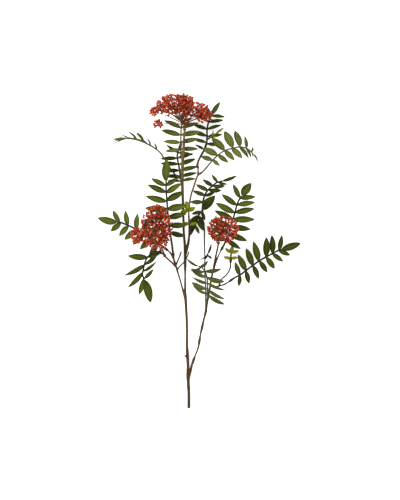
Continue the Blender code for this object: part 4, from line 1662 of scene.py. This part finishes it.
@dataclass(frozen=True)
class WoodyStem:
    """The forked stem and its twigs, grown together, with pores in the thicker bark."""

    node: str = "woody_stem"
    sides: int = 14
    step: float = 1.6
    least_steps: int = 4
    voxel: float = 0.62
    ease: float = 0.5
    ease_rounds: int = 4
    usual_radius: float = 2.3
    knob: float = 0.35
    collar: float = 0.3
    collar_reach: float = 7.0
    spur_steps: int = 5
    spur_swell: float = 1.05
    spur_foot: float = 1.25
    spur_taper: float = 0.25
    grain: float = 0.16
    grain_beats: Point = (900, 170, 900)
    grain_full: float = 2.5
    pore_density: float = 16000.0
    pore_girth: float = 1.9
    pore_seed: int = 7

    def build(self, spurs: Iterable[tuple[Route, float]], shop: Workshop) -> None:
        """Make the stem.

        Args:
            spurs: the route and the stalk size of everything that stands on it.
            shop: the trees and patterns.
        """
        guide = Guide()
        trail = self.lay_twigs(guide)
        for path, size in spurs:
            self.lay_spur(guide, path, size)
        piece = guide.piece(f"{self.node}_bark")
        bark = BarkFinish().material()
        shop.growth.grow(piece, Shapes=shop.shelves[Shelf.PORES], Stalk_sides=self.sides, Stalk_finish=bark,
                         Shape_finish=bark)
        self.grow_together(piece)
        self.weather(piece.data, trail)
        piece.data.materials.clear()
        piece.data.materials.append(bark)
        pores = stand(f"{self.node}_pores", piece.data.copy())
        shop.scatter.grow(pores, Shapes=shop.shelves[Shelf.PORES], Density=self.pore_density,
                          Least_girth=self.pore_girth * MM, Seed=self.pore_seed,
                          Shape_finish=PoreFinish().material())
        for vertex in pores.data.vertices:
            vertex.co.z = max(vertex.co.z, 0.0)
        settle(piece, self.node)
        settle(pores, self.node)

    def lay_twigs(self, guide: Guide) -> list[Mark]:
        """Lay every twig, with a collar where it leaves a thicker one.

        Args:
            guide: the stem's guide.

        Returns:
            Points along the twigs, each with its radius and its bark.
        """
        trail: list[Mark] = []
        for name, twig in TWIGS.items():
            path = Route(twig.route)
            count = max(self.least_steps, round(path.length / self.step))
            marks = [path.length * i / count for i in range(count + 1)]
            collar = 0.0 if name == "main_stem" else self.collar
            radii = [self.knobbly(path.radius(mark)) * (1 + collar * hump(mark, self.collar_reach))
                     for mark in marks]
            points = [path.at(mark) for mark in marks]
            guide.stalk(points, radii)
            tints = [twig.tint(i / count) for i in range(count + 1)]
            trail += zip(points, radii, tints)
        return trail

    def lay_spur(self, guide: Guide, path: Route, size: float) -> None:
        """Lay the spur that a stalk stands on.

        Args:
            guide: the stem's guide.
            path: the stalk's curve.
            size: how thick the stalk is, where a usual one is 1.
        """
        seat, end, _ = path.spur()
        radius = STALK_FOOT_RADIUS * self.spur_swell * size
        count = self.spur_steps
        guide.stalk([seat.lerp(end, i / count) for i in range(count + 1)],
                    [radius * (self.spur_foot - self.spur_taper * i / count) for i in range(count + 1)])

    def knobbly(self, radius: float) -> float:
        """A radius with what is thicker or thinner than usual made a little more so."""
        return radius * max(1.0, radius / self.usual_radius) ** self.knob

    def grow_together(self, piece: bpy.types.Object) -> None:
        """Turn the overlapping twigs into one skin and ease its forks.

        Args:
            piece: the stem as it grew.
        """
        skin = piece.modifiers.new("skin", "REMESH")
        skin.mode = "VOXEL"
        skin.voxel_size = self.voxel * MM
        skin.use_smooth_shade = True
        ease = piece.modifiers.new("ease", "SMOOTH")
        ease.factor = self.ease
        ease.iterations = self.ease_rounds
        bake(piece)

    def weather(self, mesh: bpy.types.Mesh, trail: list[Mark]) -> None:
        """Give the bark its relief, its colours and the flat that the stem rests on.

        Args:
            mesh: the stem's skin.
            trail: points along every twig, each with its radius and its bark.
        """
        tree = kdtree.KDTree(len(trail))
        for index, (point, _, _) in enumerate(trail):
            tree.insert(point * MM, index)
        tree.balance()
        tints: list[float] = []
        girths: list[float] = []
        for vertex in mesh.vertices:
            near, index, _ = tree.find(vertex.co)
            _, radius, tint = trail[index]
            out = (vertex.co - near).normalized()
            spot = Vector(part * beat for part, beat in zip(vertex.co, self.grain_beats))
            vertex.co += out * noise.noise(spot) * self.grain * MM * min(1.0, radius / self.grain_full)
            vertex.co.z = max(vertex.co.z, 0.0)
            girths.append(radius * MM)
            tints += tint
        mesh.attributes.new("girth", "FLOAT", "POINT").data.foreach_set("value", girths)
        mesh.attributes.new("tint", "FLOAT_COLOR", "POINT").data.foreach_set("color", tints)


LEAVES: tuple[CompoundLeaf, ...] = (
    CompoundLeaf(
        "leaf_top_behind",
        route=((21, 515, 38), (19, 520, 30), (22, 532, 25), (29, 545, 23), (36, 558, 22), (40, 572, 21),
               (41, 586, 20), (41, 600, 18.5), (43, 613, 17), (47, 626, 15.5), (52, 635, 14)),
        pairs=6, first=0.38, last=0.97, face=((0.1, 0.1, 1), (-0.3, 0, 1)), sweep=(4, 30), vee=-4,
        length=36, lengths=(0.66, 0.82), slimness=0.28, end=(37, 12), lies=True, light=0.2),
    CompoundLeaf(
        "leaf_upper_right",
        route=((21, 499, 40), (31, 506, 43), (42, 518, 45.5), (54, 532, 47.5), (67, 544, 48.5),
               (81, 553, 49), (98, 558, 47.5), (113, 561, 44), (127, 559, 37), (138, 553, 27),
               (145, 545, 17)),
        pairs=7, first=0.29, last=0.93, face=((0.1, 0.7, 1), (0.3, 0.7, 1)), sweep=(-10, 24), lean=(17, 8),
        bias=-0.15, vee=8, length=43, lengths=(0.62, 0.36), slimness=0.4, end=(29, 10), tint=LeafTint.OLIVE,
        stalk=0.8, lies=True, light=0.3),
    CompoundLeaf(
        "leaf_upper_left",
        route=((-14, 488, 47), (-23, 494, 45), (-33, 503, 43.5), (-44, 518, 42), (-54, 535, 41),
               (-67, 552, 39), (-86, 565, 37), (-108, 575, 35), (-129, 580, 33), (-147, 579, 30),
               (-158, 574, 27)),
        pairs=6, first=0.5, last=0.95, face=((0.1, 1, 0.25), (-0.1, 1, 0.35)), sweep=(42, 56), vee=16,
        length=36, lengths=(0.7, 0.75), slimness=0.3, end=(24, 8), tint=LeafTint.OLIVE, stalk=0.85,
        light=0.0),
    CompoundLeaf(
        "leaf_top_front",
        route=((-13, 532, 50.5), (-15, 535, 43.5), (-17, 545, 42), (-17.5, 560, 42), (-17.5, 581, 42),
               (-17, 600, 39.5), (-15.5, 613, 34.5), (-14.5, 622, 30)),
        pairs=5, first=0.3, last=0.96, face=((-0.15, -0.2, 1), (0, -0.3, 1)), sweep=(0, 30), vee=0,
        length=45, lengths=(0.84, 0.62), slimness=0.29, end=(25, 9), tint=LeafTint.OLIVE, stalk=0.8,
        light=0.4),
    CompoundLeaf(
        "leaf_inner_upper",
        route=((-14, 474, 46.3), (-16, 480, 37), (-18, 493, 28), (-21, 513, 26), (-24, 529, 25),
               (-26, 542, 24.5), (-23, 552, 24)),
        pairs=6, first=0.2, last=0.97, face=((0.1, 0.2, 1), (0.3, 0.3, 1)), sweep=(2, 12), vee=6, length=42,
        slimness=0.26, end=(26, 8), light=0.2, shade=0.35),
    CompoundLeaf(
        "leaf_middle_left",
        route=((-34, 317, 32), (-37, 341, 39), (-40, 361, 44), (-43, 385, 49.5), (-46, 412, 53),
               (-48, 438, 55), (-50, 464, 57), (-50, 485, 57)),
        pairs=7, first=0.32, last=0.945, face=((-0.4, 1.1, 1), (-0.3, 1.0, 1)), sweep=(-10, 31), vee=14,
        length=49, lengths=(0.78, 0.74), slimness=0.34, end=(50, 21), light=0.5),
    CompoundLeaf(
        "leaf_far_left",
        route=((-47, 331, 27), (-63, 343, 30), (-83, 357, 33), (-101, 369, 33.5), (-117, 378, 32),
               (-134, 386, 28.5), (-150, 392.5, 24.5), (-161, 394.5, 21.5)),
        pairs=6, first=0.2, last=0.935, face=((-0.2, 0.1, 1), (0.2, -0.4, 1)), sweep=(2, 38), lean=(0, 4),
        vee=2, length=37, lengths=(0.92, 0.88), slimness=0.41, end=(49, 19), lies=True, light=0.65),
    CompoundLeaf(
        "leaf_low_left",
        route=((-58, 324, 42), (-66, 326, 45), (-76, 325, 47), (-87, 320, 47), (-94, 312, 46),
               (-98, 301, 42), (-101, 289, 37), (-103, 277, 31), (-99.5, 265, 25)),
        pairs=4, first=0.4, last=0.96, face=((0.5, -0.1, 1), (0.7, -0.6, 1)), sweep=(-14, 20),
        lean=(42, 36), bias=0.13, vee=4, length=46, lengths=(0.88, 0.76), slimness=0.34, end=(63, 22),
        lies=True, light=0.6),
    CompoundLeaf(
        "leaf_centre_right",
        route=((30, 411, 32.5), (31, 430, 36.5), (33, 445, 39), (39, 460, 41), (49, 471, 43), (61, 481, 44),
               (75, 485.5, 45)),
        pairs=5, first=0.3, last=0.88, face=((0.4, -0.3, 1), (0.4, -0.5, 1)), sweep=(12, 18), lean=(14, 30),
        vee=2, length=31, lengths=(1.0, 0.74), slimness=0.36, end=(36, 10), light=0.3),
    CompoundLeaf(
        "leaf_centre_dark",
        route=((1, 365, 34), (9, 375, 27), (17, 394, 23), (23, 411, 21), (32, 422, 21)),
        pairs=4, first=0.42, last=0.92, face=((0.1, 0.2, 1), (0.2, 0.2, 1)), sweep=(-62, -42),
        lean=(20, 12), vee=0, length=28, slimness=0.4, end=(43, 19), light=0.4),
    CompoundLeaf(
        "leaf_middle_right",
        route=((72, 331, 40), (80, 346, 42), (87, 362, 43.5), (93, 380, 45), (98, 398, 46), (102, 412, 47),
               (106, 427, 48), (111, 441, 48), (119, 453, 47)),
        pairs=7, first=0.19, last=0.93, face=((0.35, 0.8, 1), (0, 0.6, 1)), sweep=(-8, 34), lean=(0, 5),
        vee=3, length=46, lengths=(0.84, 0.82), slimness=0.34, end=(36, 22), light=0.5),
    CompoundLeaf(
        "leaf_low_right",
        route=((90, 261, 29.8), (103, 270, 32), (116, 277, 33.5), (129, 287, 34.5), (143, 297, 34.5),
               (155, 306, 33), (167, 313, 30.5), (182, 321, 26.5), (199, 330, 21), (208, 333, 18.5)),
        pairs=7, first=0.2, last=0.95, face=((0.1, -0.4, 1), (0.3, 0, 1)), sweep=(-12, 36), lean=(-22, 7),
        bias=-0.1, vee=2, length=40, lengths=(0.76, 0.84), slimness=0.39, end=(50, 18), lies=True, light=0.3),
    CompoundLeaf(
        "leaf_low_centre",
        route=((44, 222, 23), (42, 231, 33), (42, 242, 44), (42, 255, 54), (41, 268, 63), (38, 281, 71),
               (31, 291, 78), (22, 296, 82)),
        pairs=6, first=0.17, last=0.95, face=((-1.1, -1.2, 1), (-0.9, -1.4, 1)), sweep=(-10, 8), vee=2,
        length=48, lengths=(0.95, 0.8), slimness=0.29, end=(34, 12), tint=LeafTint.OLIVE, stalk=0.8,
        light=0.15),
    CompoundLeaf(
        "leaf_inner_dark",
        route=((36, 312, 22), (40, 317, 26), (43, 324, 29)),
        pairs=1, first=0.75, face=((0.8, 0, 1), (0.8, 0, 1)), sweep=(-35, -35), lean=(5, 5), vee=0,
        length=26, end=(25, 8), slimness=0.3, stalk=0.85, light=0.1),
    CompoundLeaf(
        "shoot_upper_right",
        route=((41, 578, 30), (53, 586, 36), (60, 591, 38)),
        pairs=1, first=0.6, face=((0, 0, 1), (0, 0, 1)), sweep=(55, 55), vee=5, length=18, slimness=0.18,
        end=(24, 5.4), tint=LeafTint.YOUNG, stalk=0.6, light=0.1),
    CompoundLeaf(
        "shoot_centre",
        route=((1, 378, 34.5), (2, 386, 42), (2, 396, 49), (1, 410, 54), (-1, 420, 56)),
        pairs=2, first=0.3, last=0.97, face=((0, -0.6, 1), (0, -0.2, 1)), sweep=(20, 12), vee=8, length=22,
        slimness=0.6, end=(22, 14), tint=LeafTint.YOUNG, stalk=0.6),
    CompoundLeaf(
        "shoot_right",
        route=((93, 304, 34), (94, 311, 36), (94, 319, 37.5), (95, 326, 38.5)),
        pairs=2, first=0.4, last=0.97, face=((0, -0.4, 1), (0, -0.2, 1)), sweep=(10, 28), vee=6, length=22,
        slimness=0.48, end=(17, 9), tint=LeafTint.YOUNG, stalk=1.1),
)

HEADS: tuple[BerryHead, ...] = (
    BerryHead(
        "berries_top",
        route=((-9, 598, 52.8), (-9, 604, 53.3), (-9, 611, 54)),
        seed=3,
        clumps=(Clump((-32, 651, 60), (40, 26, 34), berries=210, arms=7, lowest=-0.7),
                Clump((-7, 663, 56), (18, 14, 22), berries=44, arms=2, lowest=-0.8),
                Clump((16, 640, 62), (29, 21, 26), berries=80, arms=4, lowest=-0.7),
                Clump((35, 630, 60), (18, 16, 20), berries=34, arms=2, lowest=-0.9),
                Clump((-76, 639, 62), (10, 10, 9), berries=22, arms=1, lowest=-1.0),
                Clump((-67, 611, 66), (10, 9, 9), berries=20, arms=1, lowest=-1.0))),
    BerryHead(
        "berries_left",
        route=((-53, 318, 38), (-55, 324, 49), (-60, 338, 62), (-66, 352, 70), (-69, 364, 75)),
        seed=5,
        clumps=(Clump((-71, 380, 88), (34, 50, 23), berries=270, arms=8, lowest=-0.95),
                Clump((-114, 364, 74), (14, 18, 10), berries=44, arms=2, lowest=-1.0))),
    BerryHead(
        "berries_right",
        route=((66, 346, 42), (67, 350, 49), (69, 358, 58), (71, 365, 63)),
        seed=8,
        clumps=(Clump((76, 377, 77), (34, 30, 21), berries=160, arms=6, lowest=-0.95),)),
)


@dataclass(frozen=True)
class Lamp:
    """A broad soft light: its place and the side of its square in metres, and its power in watts."""

    name: str
    place: Point
    size: float
    power: float

    def hang(self, target: Vector) -> None:
        """Hang the light.

        Args:
            target: the place that it faces, in metres.
        """
        data = bpy.data.lights.new(self.name, "AREA")
        data.size = self.size
        data.energy = self.power
        lamp = bpy.data.objects.new(self.name, data)
        lamp.location = self.place
        lamp.rotation_euler = (target - lamp.location).to_track_quat("-Z", "Y").to_euler()
        bpy.context.scene.collection.objects.link(lamp)


@dataclass(frozen=True)
class Studio:
    """The pale floor, the soft lights and the camera that looks straight down on the branch."""

    aim: Span = (25.2, 331.7)
    camera_height: float = 4219.0
    lens: float = 135.0
    sensor: float = 36.0
    floor_size: float = 9.0
    sky: float = 0.95
    lamps: tuple[Lamp, ...] = (
        Lamp("key_light", place=(-1.5, 1.6, 2.0), size=1.3, power=88.0),
        Lamp("fill_light", place=(1.6, -0.6, 2.8), size=2.6, power=12.0),
    )

    def build(self) -> None:
        """Set up the studio."""
        self.lay_floor()
        target = Vector((self.aim[0] * MM, self.aim[1] * MM, 0.0))
        for lamp in self.lamps:
            lamp.hang(target)
        world = bpy.data.worlds.new("studio_sky")
        world.use_nodes = True
        sky = world.node_tree.nodes["Background"].inputs
        sky["Color"].default_value = (1.0, 1.0, 1.0, 1.0)
        sky["Strength"].default_value = self.sky
        bpy.context.scene.world = world
        bpy.context.scene.view_settings.view_transform = "Standard"
        self.place_camera()

    def lay_floor(self) -> None:
        """Lay the floor under the branch."""
        half = self.floor_size / 2
        corners = [(-half, -half, 0), (half, -half, 0), (half, half, 0), (-half, half, 0)]
        mesh = bpy.data.meshes.new("studio_floor")
        mesh.from_pydata(corners, [], [(0, 1, 2, 3)])
        mesh.materials.append(FloorFinish().material())
        stand("studio_floor", mesh)

    def place_camera(self) -> None:
        """Stand the camera over the branch, as the picture was taken."""
        data = bpy.data.cameras.new("studio_camera")
        data.lens = self.lens
        data.sensor_width = self.sensor
        camera = bpy.data.objects.new("studio_camera", data)
        camera.location = (self.aim[0] * MM, self.aim[1] * MM, self.camera_height * MM)
        bpy.context.scene.collection.objects.link(camera)
        bpy.context.scene.camera = camera


def clear_scene() -> None:
    """Remove whatever a new scene holds."""
    for old in list(bpy.data.objects):
        bpy.data.objects.remove(old)


def main() -> None:
    """Build the branch and its studio."""
    logging.basicConfig(level=logging.INFO, format="%(message)s")
    clear_scene()
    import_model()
    shop = Workshop()
    spurs = [(Route(leaf.route), leaf.stalk) for leaf in LEAVES]
    spurs += [(Route(head.route), head.spur) for head in HEADS]
    WoodyStem().build(spurs, shop)
    for number, leaf in enumerate(LEAVES):
        leaf.build(number, shop)
    skin = BerryFinish().material()
    stalk = BERRY_STALK.material()
    for head in HEADS:
        head.build(shop, skin, stalk)
    shop.clear()
    Studio().build()


if __name__ == "__main__":
    main()
